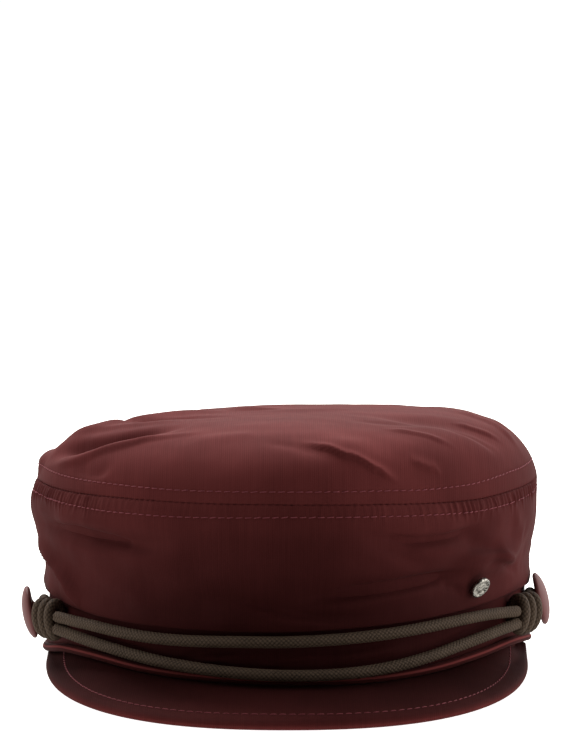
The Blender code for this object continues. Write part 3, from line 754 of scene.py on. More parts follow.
for side, label in ((-1, "left"), (1, "right")):
    turns, middle, forward = knot_path(side)
    arc = eye_path(side)
    parts = [braided_cord("turns", turns, CORD_DIAMETER, KNOT_DEPTH)]
    for way, half in ((1, arc[: EYE_STEPS // 2 + 1]), (-1, arc[EYE_STEPS // 2 :][::-1])):
        core = [middle + way * CORE_APART * UP - place * forward for place in CORE_PLACES]
        line = smooth_path([*core, *half], CORE_STEPS)
        parts.append(braided_cord("core", line, CORE_SIZE * CORD_DIAMETER))
    knot = put_on(join_pieces(f"knot_{label}", parts), cotton)
    finish_piece(knot, "cord_cotton", f"cord_knot_{label}")

# %% [markdown]
# ## Folds
# Cloth that was cut larger than what it covers lies in soft folds. Each fold is a row
# of a table: a few places along it, a width and a depth in millimetres, and a skew
# that makes one flank steeper than the other. A fold moves points along the normals.

# %% Pressing folds into a grid
Fold = namedtuple("Fold", "path width depth skew", defaults=(0.0,))
FOLD_STEPS = 28
FOLD_REACH = 2.4
FOLD_FADE = 3.0
LEAST_GAP = 0.05 * MM


def fold_places(path):
    """Even places on a smooth curve through those of a fold."""
    return between(path, range(len(path)), np.linspace(0, len(path) - 1, FOLD_STEPS))


def folded(points, normals, line_of, folds):
    """How far the folds move each point along its normal, in metres."""
    flat, facing = points.reshape(-1, 3), normals.reshape(-1, 3)
    moved = np.zeros(len(flat))
    for fold in folds:
        line, width = line_of(fold.path), fold.width * MM
        reach = FOLD_REACH * width * (1 + abs(fold.skew))
        low, high = line.min(0) - reach, line.max(0) + reach
        near = np.nonzero(((flat > low) & (flat < high)).all(1))[0]
        start, run, ways = line[:-1], np.diff(line, axis=0), np.gradient(line, axis=0)
        away = flat[near][:, None] - start[None]
        share = np.clip((away * run).sum(-1) / (run * run).sum(-1), 0, 1)
        off = away - share[..., None] * run
        distance = np.linalg.norm(off, axis=-1)
        closest = distance.argmin(1)
        rows = np.arange(len(near))
        gap, share, off = distance[rows, closest], share[rows, closest], off[rows, closest]
        way = ways[closest] * (1 - share)[:, None] + ways[closest + 1] * share[:, None]
        side = (np.cross(facing[near], way) * off).sum(1)
        sign = side / (np.linalg.norm(way, axis=1) * np.maximum(gap, LEAST_GAP))
        along = (closest + share) / (len(line) - 1)
        fade = np.clip(np.minimum(along, 1 - along) * FOLD_FADE, 0, 1)
        fade = fade * fade * (3 - 2 * fade)
        wide = width * (1 + fold.skew * np.clip(sign, -1, 1))
        moved[near] += fold.depth * MM * fade * np.exp(-((gap / wide) ** 2))
    return moved.reshape(points.shape[:-1])


def ruffled(points, size, depth, seed):
    """A gentle unevenness that no hand-cut cloth is without."""
    shift = Vector((seed * 7.1, seed * 3.3, seed * 5.7))
    flat = points.reshape(-1, 3) / size
    heights = [noise.fractal(Vector(p) + shift, 1.0, 2.1, 3) for p in flat]
    return depth * np.array(heights).reshape(points.shape[:-1])


# %% [markdown]
# ## The crown's side panel
# One strip of gabardine, seamed to the tip above and tucked over the headband below.
# It is longer than the seam, so it is gathered there, most at the left front and the
# right front, and the two rows of topstitching hold the gathers down.

# %% The side panel's smooth shape, from the frame
CLOTH_THICKNESS = 1.2 * MM
SIDE_STATIONS = 64
SIDE_COLUMNS = 1280
SIDE_INNER_ROWS = 11
STITCH_OFF = 4.0 * MM
SEAM_DASH = 2.4 * MM


def outer_rows(node, stations):
    """The outer face of a hollow frame node, as rows of points from low to high."""
    pairs = by_station(node, stations).reshape(stations, -1, 2, 3)
    outermost = np.linalg.norm(pairs[..., :2], axis=-1).argmax(-1)
    return np.take_along_axis(pairs, outermost[..., None, None], axis=2)[:, :, 0].transpose(1, 0, 2)


# The angles round the cap, and how far the seam strays from its level there in millimetres
SEAM_WANDER = (
    (-110, 0.0), (-90, 0.6), (-75, 1.2), (-58, 0.4), (-38, 0.4), (-18, 0.0), (0, -0.3), (17, -1.1),
    (33, -2.3), (45, -2.8), (60, -1.6), (78, -0.6), (92, 0.0), (150, 0.5), (200, -0.6), (250, 0.0),
)


def seam_wander(count):
    """How far the hand-sewn seam strays from its level at each column, in metres."""
    places, strays = np.array(SEAM_WANDER, float).T
    angles = round_angles(count)
    angles = np.where(angles < places[0], angles + 360, angles)
    wandered = np.interp(angles, np.append(places, places[0] + 360), np.append(strays, strays[0]))
    width = count // 40
    kernel = np.hanning(2 * width + 1)
    wrapped = np.concatenate([wandered[-width:], wandered, wandered[:width]])
    return np.convolve(wrapped, kernel / kernel.sum(), "valid") * MM


side_rows = outer_rows("crown_side", SIDE_STATIONS)
hem_line, seam_line = side_rows[0, :, 2], side_rows[-1, :, 2]
side_shares = ((side_rows[..., 2] - hem_line) / (seam_line - hem_line)).mean(1)
smooth_rows = around(side_rows.transpose(1, 0, 2), SIDE_COLUMNS).transpose(1, 0, 2)
SIDE_PLACES = zoned((0.06, 5), (0.74, 32), (1, 27))
side_base = between(smooth_rows, side_shares, SIDE_PLACES)
side_base[..., 2] += SIDE_PLACES[:, None] ** 3 * seam_wander(SIDE_COLUMNS)
side_facing = grid_normals(side_base)
side_heights = side_base[-1, :, 2] - side_base[0, :, 2]
print("side panel:", len(SIDE_PLACES), "rows,", round(side_heights.mean() / MM, 1), "mm high")


def grid_at(grid, row, column):
    """A place on a grid, between its rows and columns."""
    rows, columns = grid.shape[:2]
    row = np.clip(np.asarray(row, float), 0, rows - 1.001)
    column = np.asarray(column, float)
    r, c = np.floor(row).astype(int), np.floor(column).astype(int)
    u, v = (row - r)[..., None], (column - c)[..., None]
    lower = grid[r, c % columns] * (1 - v) + grid[r, (c + 1) % columns] * v
    upper = grid[r + 1, c % columns] * (1 - v) + grid[r + 1, (c + 1) % columns] * v
    return lower * (1 - u) + upper * u


def side_line(path):
    """The line of a fold on the side panel, from angles and shares of its height."""
    angle, share = fold_places(path).T
    row = np.interp(share, SIDE_PLACES, np.arange(len(SIDE_PLACES)))
    return grid_at(side_base, row, (angle + 180) / 360 * SIDE_COLUMNS)


# %% [markdown]
# The folds of the side panel. A place is the angle from the front, positive towards
# the right of the picture, and the share of the way from the hem to the seam.

# %% The side panel's folds and gathers
SIDE_FOLDS = (
    # The long crease at the left, with the cloth hanging over it
    Fold(((-72, 0.66), (-60, 0.69), (-52, 0.70), (-46, 0.68), (-38, 0.65), (-26, 0.62)), 1.5, -2.0, -0.30),
    Fold(((-66, 0.74), (-52, 0.78), (-40, 0.74), (-26, 0.70)), 2.6, 0.8),
    Fold(((-55, 0.70), (-49, 0.685), (-43, 0.665)), 1.0, -0.9, -0.3),
    Fold(((-42, 0.70), (-38, 0.66), (-35, 0.63)), 1.0, -0.8, -0.3),
    # The crease at the right, under the gathers
    Fold(((14, 0.74), (22, 0.72), (28, 0.68), (34, 0.685), (40, 0.71), (47, 0.77)), 1.4, -1.9, -0.35),
    Fold(((20, 0.79), (32, 0.76), (42, 0.79)), 2.6, 0.7),
    Fold(((14, 0.72), (21, 0.62), (27, 0.50), (34, 0.44)), 2.6, -0.9, 0.2),
    Fold(((24, 0.60), (32, 0.58), (40, 0.60)), 3.4, 0.8),
    # The hollow and the roll above the stud
    Fold(((39, 0.66), (44, 0.57), (50, 0.47), (55, 0.44)), 3.8, -1.9),
    Fold(((58, 0.80), (62, 0.62), (66, 0.50)), 3.6, 0.8),
    Fold(((38, 0.45), (44, 0.47), (51, 0.44), (58, 0.35), (64, 0.22)), 2.2, 1.9, -0.25),
    Fold(((46, 0.34), (52, 0.345), (59, 0.27), (66, 0.18)), 1.8, -1.2, 0.2),
    # The long soft shadow from the stud across the front, and the roll under it
    Fold(((0, 0.24), (10, 0.285), (20, 0.315), (30, 0.335), (38, 0.34), (47, 0.32)), 1.8, -2.3, -0.30),
    Fold(((4, 0.17), (16, 0.20), (28, 0.23), (38, 0.245)), 2.6, 2.2),
    Fold(((4, 0.40), (16, 0.43), (28, 0.445), (38, 0.44)), 3.2, 0.9),
    Fold(((35, 0.27), (39, 0.22), (43, 0.15)), 1.4, -1.1),
    Fold(((-14, 0.28), (-6, 0.21), (3, 0.13), (12, 0.07), (22, 0.06)), 2.2, -2.0, 0.3),
    Fold(((-6, 0.09), (2, 0.05), (10, 0.015)), 1.6, 0.9),
    # The diagonal edge at the far left, down to the hem
    Fold(((-78, 0.50), (-71, 0.40), (-63, 0.28), (-57, 0.14), (-53, -0.06)), 2.6, 2.4, 0.70),
    # The broad low rolls of the front
    Fold(((-40, 0.47), (-30, 0.54), (-18, 0.66)), 4.2, 0.9),
    Fold(((-36, 0.36), (-24, 0.25), (-12, 0.14)), 4.4, -1.3),
    Fold(((-20, 0.44), (-10, 0.50), (4, 0.55)), 4.6, 0.7),
    Fold(((-14, 0.78), (-2, 0.74), (10, 0.66)), 3.6, -0.6),
    Fold(((-18, 0.09), (-8, 0.04), (0, 0.03)), 2.4, 0.8),
    Fold(((-48, 0.36), (-38, 0.26), (-28, 0.10)), 3.8, 0.8),
    # Creases of the back and the sides, of the same kind
    Fold(((98, 0.66), (112, 0.58), (128, 0.60)), 2.2, -1.1, 0.35),
    Fold(((120, 0.36), (136, 0.30), (152, 0.34)), 2.8, -0.9, 0.2),
    Fold(((150, 0.72), (166, 0.66), (182, 0.70)), 2.2, -1.0, 0.35),
    Fold(((170, 0.22), (188, 0.28), (206, 0.24)), 3.0, -0.8),
    Fold(((200, 0.60), (214, 0.66), (228, 0.62)), 2.4, -1.0, 0.35),
    Fold(((236, 0.40), (248, 0.30), (258, 0.18)), 2.6, 0.8, -0.3),
    Fold(((84, 0.40), (92, 0.28), (100, 0.16)), 2.4, 0.7, -0.3),
    Fold(((252, 0.70), (262, 0.66), (274, 0.70)), 2.2, -1.0, 0.35),
)
# Where the cloth is gathered, as angles from and to, and how strongly
GATHER_RUNS = (
    (-84, -44, 1.00), (-44, -10, 0.25), (-10, 34, 0.30), (34, 78, 1.00),
    (78, 110, 0.45), (110, 180, 0.60), (180, 240, 0.60), (240, 276, 0.50),
)
GATHER_DEPTH = 0.62 * MM
GATHER_WIDTHS = (0.42 * MM, 0.85 * MM)
GATHER_STEPS = (1.3 * MM, 3.8 * MM)
GATHER_HEIGHTS = (0.4, 1.0)
GATHER_LEAN = 0.22
GATHER_TAILS = (0.8, 3.0)
GATHER_START = 0.8 * MM
GATHER_PRESS, PRESS_REACH = 0.35, 6 * MM
SEAM_DEPTH, SEAM_HALF = 0.50 * MM, 0.34 * MM
STITCH_DEPTH, STITCH_HALF = 0.16 * MM, 0.75 * MM
SIDE_RUFFLE = (24 * MM, 0.55 * MM, 1)

side_angles = round_angles(SIDE_COLUMNS)
seam_lengths = run_lengths(ring_closed(side_base[-1]))
SEAM_LENGTH = seam_lengths[-1]
side_down = (1 - SIDE_PLACES)[:, None] * side_heights[None, :]


def gather_strength():
    """How strongly the cloth is gathered at each column."""
    strength = np.zeros(SIDE_COLUMNS)
    for start, end, most in GATHER_RUNS:
        middle, half = (start + end) / 2, (end - start) / 2
        off = abs((side_angles - middle + 180) % 360 - 180) / half
        strength = np.maximum(strength, most * np.clip((1.25 - off) / 0.4, 0, 1))
    return strength


def gathers():
    """Small upright pleats below the seam, each with its own width, lean and length."""
    draw = random.Random(11)
    raised = np.zeros_like(side_down)
    start = np.clip(side_down / GATHER_START, 0.3, 1)
    below = np.maximum(side_down - STITCH_OFF, 0)
    at = 0.0
    while at < SEAM_LENGTH:
        width = draw.uniform(*GATHER_WIDTHS)
        lean = draw.uniform(-GATHER_LEAN, GATHER_LEAN)
        height = draw.uniform(*GATHER_HEIGHTS)
        tail = draw.uniform(*GATHER_TAILS) * MM
        off = seam_lengths[None, :-1] - at - lean * side_down
        off = (off + SEAM_LENGTH / 2) % SEAM_LENGTH - SEAM_LENGTH / 2
        raised += height * start * np.exp(-((below / tail) ** 1.5) - (off / width) ** 2)
        at += draw.uniform(*GATHER_STEPS)
    pressed = GATHER_PRESS * np.clip(1.3 - side_down / PRESS_REACH, 0, 1)
    return GATHER_DEPTH * gather_strength()[None, :] * (raised - pressed)


def seam_groove(down, lengths):
    """The groove where an edge turns in at a seam, deeper at each of its stitches."""
    pulled = 0.56 + 0.44 * np.tanh(2.5 * np.sin(2 * np.pi * lengths / SEAM_DASH))
    return -SEAM_DEPTH * pulled * np.exp(-((down / SEAM_HALF) ** 2))


# The angles round the cap, and how far from the seam the topstitching runs there in millimetres
TIP_STITCH = (
    (-100, 4.4), (-80, 5.4), (-60, 4.8), (-40, 4.2), (-25, 3.8), (0, 4.0),
    (30, 4.2), (46, 5.0), (60, 6.0), (80, 6.4), (105, 4.4),
)
SIDE_STITCH = (
    (-100, 4.4), (-80, 3.6), (-60, 4.0), (-40, 4.9), (-25, 5.0), (0, 4.3),
    (30, 4.4), (46, 4.6), (60, 4.4), (80, 3.4), (100, 4.4),
)


def stitch_off(table, count):
    """How far from the seam a line of topstitching runs at each column, in metres."""
    places, offs = np.array(table, float).T
    return np.interp(round_angles(count), places, offs) * MM


def stitch_groove(down, offset):
    """The shallow groove that topstitching presses into the cloth."""
    return -STITCH_DEPTH * np.exp(-(((down - offset) / STITCH_HALF) ** 2))


calm = np.clip(np.minimum(side_down / (3 * MM), SIDE_PLACES[:, None] * 9), 0, 1)
side_move = calm * folded(side_base, side_facing, side_line, SIDE_FOLDS)
side_move += calm * ruffled(side_base, *SIDE_RUFFLE)
side_move += gathers()
side_move += seam_groove(side_down, seam_lengths[None, :-1])
side_move += stitch_groove(side_down, stitch_off(SIDE_STITCH, SIDE_COLUMNS))
side_outer = side_base + side_move[..., None] * side_facing


side_normals = grid_normals(side_outer)
side_up = SIDE_PLACES * side_heights.mean()
crown_side = wall(
    "crown_side_cloth", side_outer, side_facing, CLOTH_THICKNESS, SIDE_INNER_ROWS, seam_lengths, side_up
)
finish_piece(put_on(crown_side, cloth), "crown_cloth", "crown_side")

# %% [markdown]
# ## The crown's tip
# The tip is one oval of cloth. It stands up from the seam, turns over the rim and
# rises to a soft dome, with a deep dent behind a ridge at the back left.

# %% The tip's smooth shape, from the frame
TIP_COLUMNS = 768
TIP_STATIONS = 64
TIP_INNER_ROWS = 16
TIP_RUFFLE = (26 * MM, 0.30 * MM, 2)


def tip_rows():
    """The outer face of the tip as rows of points, from the rim in, and its crest."""
    points = cad_points("crown_tip")
    middle = np.linalg.norm(points[:, :2], axis=1) < 1 * MM
    crest = points[middle][points[middle][:, 2].argmax()]
    points = points[~middle]
    rims = oval(round_angles(TIP_STATIONS), 4.0 * MM)[0]
    turn, rim_turn = (np.arctan2(p[:, 0], -p[:, 1]) for p in (points, rims))
    off = abs((turn[:, None] - rim_turn[None] + np.pi) % (2 * np.pi) - np.pi)
    nearest = off.argmin(1)
    rows = []
    for i in range(TIP_STATIONS):
        row = points[nearest == i]
        row = row[np.argsort(-np.linalg.norm(row[:, :2], axis=1))]
        rows.append(row[::2])
    return np.array(rows).transpose(1, 0, 2), crest


tip_cad, tip_crest = tip_rows()
tip_smooth = around(tip_cad.transpose(1, 0, 2), TIP_COLUMNS).transpose(1, 0, 2)
tip_smooth = np.concatenate([tip_smooth, np.broadcast_to(tip_crest, (1, TIP_COLUMNS, 3))])
tip_places = np.concatenate([[0], np.cumsum(np.linalg.norm(np.diff(tip_smooth, axis=0), axis=2).mean(1))])
TIP_REACH = tip_places[-1]
TIP_PLACES = zoned((10 * MM, 25), (40 * MM, 26), (TIP_REACH - 2 * MM, 25))
tip_base = between(tip_smooth, tip_places, TIP_PLACES)
tip_base[..., 2] += np.exp(-((TIP_PLACES[:, None] / (14 * MM)) ** 2)) * seam_wander(TIP_COLUMNS)
tip_base[..., 2] -= 0.28 * MM * np.exp(-((TIP_PLACES[:, None] / (0.5 * MM)) ** 2))
tip_facing = grid_normals(tip_base)
print("tip:", len(TIP_PLACES), "rows,", round(TIP_REACH / MM, 1), "mm from the rim to the crest")


def tip_line(path):
    """The line of a fold on the tip, from millimetres to the right and to the back."""
    flat = tip_base[2:].reshape(-1, 3)
    nearest = [((flat[:, :2] - place) ** 2).sum(1).argmin() for place in fold_places(path) * MM]
    line = flat[nearest]
    line[1:-1] = (line[:-2] + 2 * line[1:-1] + line[2:]) / 4
    return line


# %% [markdown]
# The folds of the tip. A place is in millimetres, to the right and to the back.

# %% The tip's folds
TIP_FOLDS = (
    # The lit ridge at the left, the dent behind it, the hump, and the dent behind that
    Fold(((-88, -18), (-80, -38), (-69, -51), (-56, -59), (-43, -63), (-26, -64)), 2.4, 1.4, 0.3),
    Fold(((-85, -17), (-77, -32), (-65, -44), (-51, -50), (-34, -53)), 3.7, -4.2),
    Fold(((-88, 6), (-78, -12), (-66, -25), (-50, -34), (-30, -37)), 3.8, 0.9, 0.2),
    Fold(((-70, 6), (-60, -13), (-49, -22), (-36, -25), (-18, -28)), 2.6, -1.5),
    Fold(((-91, -14), (-90, -2), (-86, 12)), 5.0, 1.6),
    Fold(((-76, -46), (-69, -60), (-60, -69)), 3.0, -0.9, 0.2),
    # The short bright ridge on the front slope
    Fold(((3, -82), (10, -85), (18, -88), (27, -89.5), (34, -89.5), (40, -88)), 1.5, 1.2, 0.45),
    Fold(((-10, -80), (4, -86), (16, -91)), 2.8, -0.6),
    # The waves of the right shoulder
    Fold(((32, -60), (42, -61), (50, -61), (60, -60)), 2.0, 0.8, 0.35),
    Fold(((41, -80), (48, -78), (54, -75)), 1.8, 0.6, 0.3),
    Fold(((58, -26), (68, -28), (78, -28)), 2.2, 0.8, 0.35),
    Fold(((56, -40), (66, -43), (76, -42)), 2.6, -0.5),
    Fold(((58, 26), (70, 4), (79, -12), (84, -22)), 2.6, 0.9, 0.3),
    Fold(((68, 26), (78, 8), (84, -4)), 3.0, -0.4),
    Fold(((20, -44), (36, -48), (50, -46)), 3.4, -0.5),
    # Soft waves of the dome and the back
    Fold(((-10, 2), (8, -6), (27, 10)), 5.0, 0.5),
    Fold(((-36, -70), (-22, -74), (-8, -70)), 5.0, 0.6),
    Fold(((-28, 40), (0, 48), (28, 42)), 5.0, -0.6),
    Fold(((-60, 44), (-50, 60), (-32, 75)), 3.4, 0.8, 0.3),
    Fold(((62, 42), (50, 60), (36, 71)), 3.2, -0.7),
)
tip_lengths = run_lengths(ring_closed(tip_base[0]))
tip_up = np.broadcast_to(TIP_PLACES[:, None], tip_base.shape[:2])
calm = np.clip(tip_up / (7 * MM), 0, 1)
tip_move = calm * folded(tip_base, tip_facing, tip_line, TIP_FOLDS)
tip_move += calm * ruffled(tip_base, *TIP_RUFFLE)
tip_move += seam_groove(tip_up, tip_lengths[None, :-1])
tip_move += stitch_groove(tip_up, stitch_off(TIP_STITCH, TIP_COLUMNS))
tip_outer = tip_base + tip_move[..., None] * tip_facing
tip_normals = grid_normals(tip_outer)
inner_rows = np.linspace(0, len(TIP_PLACES) - 1, TIP_INNER_ROWS).round().astype(int)
tip_inner = (tip_outer - CLOTH_THICKNESS * tip_facing)[inner_rows]
rings = np.concatenate([tip_inner[::-1], tip_outer])
plan = np.concatenate([rings, rings[:, :1]], 1)
crown_tip = skinned("crown_tip_cloth", rings, plan[..., 0], plan[..., 1], closed=False, capped=True)
finish_piece(put_on(crown_tip, cloth), "crown_cloth", "crown_tip")

# %% [markdown]
# ## The headband and its welt
# The band is the same cloth over a stiffener. It shows between the side panel's hem
# and the welt, a thin cord-filled edge that goes all the way round.

# %% The headband
BAND_STATIONS = 64
BAND_COLUMNS = 640
BAND_THICKNESS = 2.2 * MM
BAND_INNER_ROWS = 8
BAND_HEIGHT = 24 * MM
FOOT_RAISED = 0.4 * MM
FOOT_TURNED_IN = 0.12 * MM
BAND_RUFFLE = (14 * MM, 0.12 * MM, 3)
band_rows = by_station("headband", BAND_STATIONS)
band_top = around(band_rows[:, -1, 2], BAND_COLUMNS)
band_foot = around(band_rows[:, 0, 2], BAND_COLUMNS)
BAND_PLACES = np.linspace(0, 1, 34)
band_foot += FOOT_RAISED
band_heights = band_foot + BAND_PLACES[:, None] * (band_top - band_foot)
turned_in = -FOOT_TURNED_IN * np.clip(1 - BAND_PLACES * 10, 0, 1)[:, None] + 0 * band_heights
band_angles = np.broadcast_to(round_angles(BAND_COLUMNS), band_heights.shape)
band_base, band_facing = oval(band_angles, turned_in, band_heights)
BAND_FOLDS = (
    Fold(((-26, 0.22), (-18, 0.42), (-8, 0.50)), 1.3, -1.1, 0.2),
    Fold(((-22, 0.22), (-14, 0.34), (-4, 0.40)), 1.4, 0.8),
    Fold(((-6, 0.22), (0, 0.34), (8, 0.40)), 1.2, 0.8),
    Fold(((0, 0.48), (12, 0.48), (26, 0.56)), 1.4, -1.0, 0.2),
    Fold(((6, 0.32), (18, 0.38), (30, 0.44)), 1.6, 0.8),
    Fold(((-52, 0.36), (-40, 0.34), (-30, 0.28)), 1.2, -0.6),
    Fold(((34, 0.30), (46, 0.42), (58, 0.50)), 1.4, -0.6),
)


def band_line(path):
    """The line of a fold on the band, from angles and shares of its height."""
    angle, share = fold_places(path).T
    return grid_at(band_base, share * (len(BAND_PLACES) - 1), (angle + 180) / 360 * BAND_COLUMNS)


band_move = folded(band_base, band_facing, band_line, BAND_FOLDS)
band_move += ruffled(band_base, *BAND_RUFFLE) * np.sin(np.pi * BAND_PLACES)[:, None]
band_outer = band_base + band_move[..., None] * band_facing
band_lengths = np.linspace(0, SEAM_LENGTH, BAND_COLUMNS + 1)
band_up = BAND_PLACES * BAND_HEIGHT
headband = wall(
    "headband_cloth", band_outer, band_facing, BAND_THICKNESS, BAND_INNER_ROWS, band_lengths, band_up
)
finish_piece(put_on(headband, band_cloth), "crown_cloth", "headband")

# %% The welt
WELT_DIAMETER = 3.0 * MM
WELT_STATIONS = 72
WELT_COLUMNS = 720
WELT_SIDES = 20
welt_middle = around(by_station("edge_piping", WELT_STATIONS).mean(1), WELT_COLUMNS)
welt_ways = oval(round_angles(WELT_COLUMNS))[1]
turn = 2 * np.pi * np.arange(WELT_SIDES)[None, :, None] / WELT_SIDES
rings = welt_middle[:, None] + WELT_DIAMETER / 2 * (np.cos(turn) * welt_ways[:, None] + np.sin(turn) * UP)
girth = np.linspace(0, math.pi * WELT_DIAMETER, WELT_SIDES + 1)
welt = skinned("edge_welt", rings, girth, np.linspace(0, SEAM_LENGTH, WELT_COLUMNS)[:, None])
# The welt's cloth is a darker copy of the crown's, for painted shade.
welt_cloth = gabardine("burgundy_gabardine_welt", "#351413", "#431C1B", 0.045)

# A painted highlight runs in a line along the welt's upper edge.
WELT_CREST = 0.50 * MM
CREST_PAINTED_HIGHLIGHT = (0.55 * MM, 0.2 * MM)
tree, whole = colour_of(welt_cloth)
girth = axes(tree, node(tree, "UVMap", {"uv_map": "cloth"}).outputs["UV"])["X"]
away = maths(tree, "ABSOLUTE", maths(tree, "SUBTRACT", girth, WELT_CREST))
colour_by(tree, ramp(tree, away, *CREST_PAINTED_HIGHLIGHT), whole, linear("#6E3230"))
finish_piece(put_on(welt, welt_cloth), "crown_cloth", "edge_piping")

# %% [markdown]
# ## The peak
# The peak is board covered with the same cloth, with a rolled edge. Its frame node has
# the right form, so it is taken as a cage, tucked in under the welt, and rounded by
# subdivision.

# %% The peak
SAME_PLACE = 0.005 * MM
PEAK_ENDS = cad_points("peak")[:, 1].max() - 2.0 * MM
INNER_EDGE = 1.006
END_RAISED = 1.0 * MM
RIGHT_END_RAISED = 1.5 * MM
EDGE_RAISED = 0.5 * MM
EDGE_DRAWN_IN = 0.972


def cage_copy(name, cad_node, levels, tuck=None):
    """A rounded copy of a frame node: its corners merged, quads found, subdivided."""
    made = bpy.data.objects.new(name, frame["nodes"][cad_node].data.copy())
    bpy.context.scene.collection.objects.link(made)
    take(made)
    bpy.ops.mesh.customdata_custom_splitnormals_clear()
    bpy.ops.object.mode_set(mode="EDIT")
    bpy.ops.mesh.select_all(action="SELECT")
    bpy.ops.mesh.remove_doubles(threshold=SAME_PLACE)
    bpy.ops.mesh.tris_convert_to_quads()
    if tuck:
        tuck(made)
    bpy.ops.object.mode_set(mode="OBJECT")
    rounder = made.modifiers.new("rounder", "SUBSURF")
    rounder.levels = rounder.render_levels = levels
    bpy.ops.object.modifier_apply(modifier=rounder.name)
    bpy.ops.object.shade_smooth()
    return made


def plan_map(piece):
    """Lays the cloth's lengths on a piece from above."""
    layer = piece.data.uv_layers.new(name="cloth")
    points = np.array([v.co for v in piece.data.vertices])
    corners = np.zeros(len(piece.data.loops), int)
    piece.data.loops.foreach_get("vertex_index", corners)
    layer.data.foreach_set("uv", points[corners][:, :2].astype(np.float32).ravel())


def pick(made, wanted):
    """Selects the vertices whose places a rule wants, and no others."""
    bpy.ops.mesh.select_all(action="DESELECT")
    bpy.ops.object.mode_set(mode="OBJECT")
    for vertex in made.data.vertices:
        vertex.select = bool(wanted(vertex.co))
    bpy.ops.object.mode_set(mode="EDIT")


def at_inner_edge(place):
    """Whether a place is on the edge of the peak that lies along the band."""
    return math.hypot(place.x / HALF_WIDTH, (place.y - WIDEST) / (HALF_LENGTH + WIDEST)) < INNER_EDGE


def tuck_peak(made):
    """Draws the peak's ends and inner edge in under the welt, where they are sewn."""
    pick(made, lambda place: place.y > PEAK_ENDS)
    bpy.ops.transform.edge_crease(value=1.0)
    bpy.ops.transform.translate(value=(0, 0, END_RAISED))
    pick(made, lambda place: place.y > PEAK_ENDS and place.x > 0)
    bpy.ops.transform.translate(value=(0, 0, RIGHT_END_RAISED))
    pick(made, at_inner_edge)
    bpy.ops.transform.edge_crease(value=1.0)
    bpy.ops.transform.translate(value=(0, 0, EDGE_RAISED))
    bpy.ops.transform.resize(value=(EDGE_DRAWN_IN, EDGE_DRAWN_IN, 1), center_override=(0, WIDEST, 0))


peak = cage_copy("peak_cloth", "peak", 3, tuck_peak)
plan_map(peak)
finish_piece(put_on(peak, peak_shaded_cloth), "crown_cloth", "peak")

# %% [markdown]
# ## Buttons and stud
# The buttons are covered with a smooth mauve leather, and the stud is aged pewter.

# %% Leather and pewter
leather, tree = new_material("mauve_leather", Roughness=0.50, Specular_IOR_Level=0.18)
place = place_in(tree)
grain = node(tree, "TexVoronoi", {"feature": "SMOOTH_F1"}, Vector=place, Scale=1500.0, Smoothness=0.6)
colour_by(tree, noise_at(tree, place, 180.0, 3.0), linear("#663936"), linear("#7B4946"))
bump_by(tree, grain.outputs["Distance"], 0.03 * MM, 0.6)

pewter, tree = new_material("aged_pewter", Metallic=1.0, Roughness=0.32)
place = place_in(tree)
dents = node(tree, "TexVoronoi", {"feature": "F1"}, Vector=place, Scale=1900.0).outputs["Distance"]
worn = maths(tree, "MULTIPLY_ADD", dents, -0.7, noise_at(tree, place, 700.0, 3.0))
colour_by(tree, ramp(tree, worn, -0.10, 0.45), linear("#2B2822"), linear("#D6D0C4"))
bump_by(tree, dents, 0.10 * MM, 0.6)

# %% The buttons
PLUMP = 0.55 * MM


def plumped(made, amount):
    """Makes a piece fuller, and as wide as it was, by a displacement along its normals."""
    wide = max(made.dimensions)
    middle = sum((v.co for v in made.data.vertices), Vector()) / len(made.data.vertices)
    take(made)
    fuller = made.modifiers.new("fuller", "DISPLACE")
    fuller.strength = amount
    fuller.mid_level = 0.0
    bpy.ops.object.modifier_apply(modifier=fuller.name)
    bpy.ops.object.mode_set(mode="EDIT")
    bpy.ops.mesh.select_all(action="SELECT")
    bpy.ops.transform.resize(value=[wide / (wide + 2 * amount)] * 3, center_override=middle)
    bpy.ops.object.mode_set(mode="OBJECT")
    return made


for label in ("left", "right"):
    button = plumped(cage_copy(f"button_{label}_cover", f"button_{label}", 3), PLUMP)
    finish_piece(put_on(button, leather), "button_cover", f"button_{label}")

# %% [markdown]
# ## The stud
# A small domed disc with a raised rim and hammered face, sunk a little in the cloth.
# It is shaped with the operators, and turned and set at the seat of its frame node.

# %% The stud
STUD_RADIUS = 3.95 * MM
STUD_DEPTH = 1.3 * MM
STUD_STANDS = 0.4 * MM
STUD_INSET = 0.12 * MM
STUD_FACING = Vector((0.60, -0.62, -0.50)).normalized()
# Each step in from the rim: the share of the width, and the rise in millimetres
STUD_STEPS = (
    (0.93, 0.25), (0.86, 0.0), (0.86, -0.45), (0.82, 0.10),
    (0.78, 0.16), (0.70, 0.14), (0.55, 0.10), (0.30, 0.05),
)
bpy.ops.mesh.primitive_cylinder_add(vertices=48, radius=STUD_RADIUS, depth=STUD_DEPTH)
stud = bpy.context.active_object
stud.name = "stud_face"
bpy.ops.object.mode_set(mode="EDIT")
pick(stud, lambda place: place.z > 0)
for share, rise in STUD_STEPS:
    bpy.ops.mesh.inset(thickness=STUD_INSET)
    bpy.ops.transform.resize(value=(share, share, 1.0), center_override=(0, 0, 0))
    bpy.ops.transform.translate(value=(0, 0, rise * MM))
bpy.ops.object.mode_set(mode="OBJECT")
turned = Vector((0, 0, 1)).rotation_difference(STUD_FACING).to_matrix().to_4x4()
seat = Vector(cad_points("stud").mean(0)) + STUD_STANDS * STUD_FACING
stud.data.transform(Matrix.Translation(seat) @ turned)
bpy.ops.object.shade_smooth()
bpy.ops.object.select_all(action="DESELECT")
finish_piece(put_on(stud, pewter), "stud_pewter", "stud")

# %% [markdown]
# ## Topstitching
# The thread is a little lighter than the cloth, a third of a millimetre thick, with a
# stitch of 2.5 mm every 3.1 mm. One stitch is modelled, and copies of its points
# follow each line.

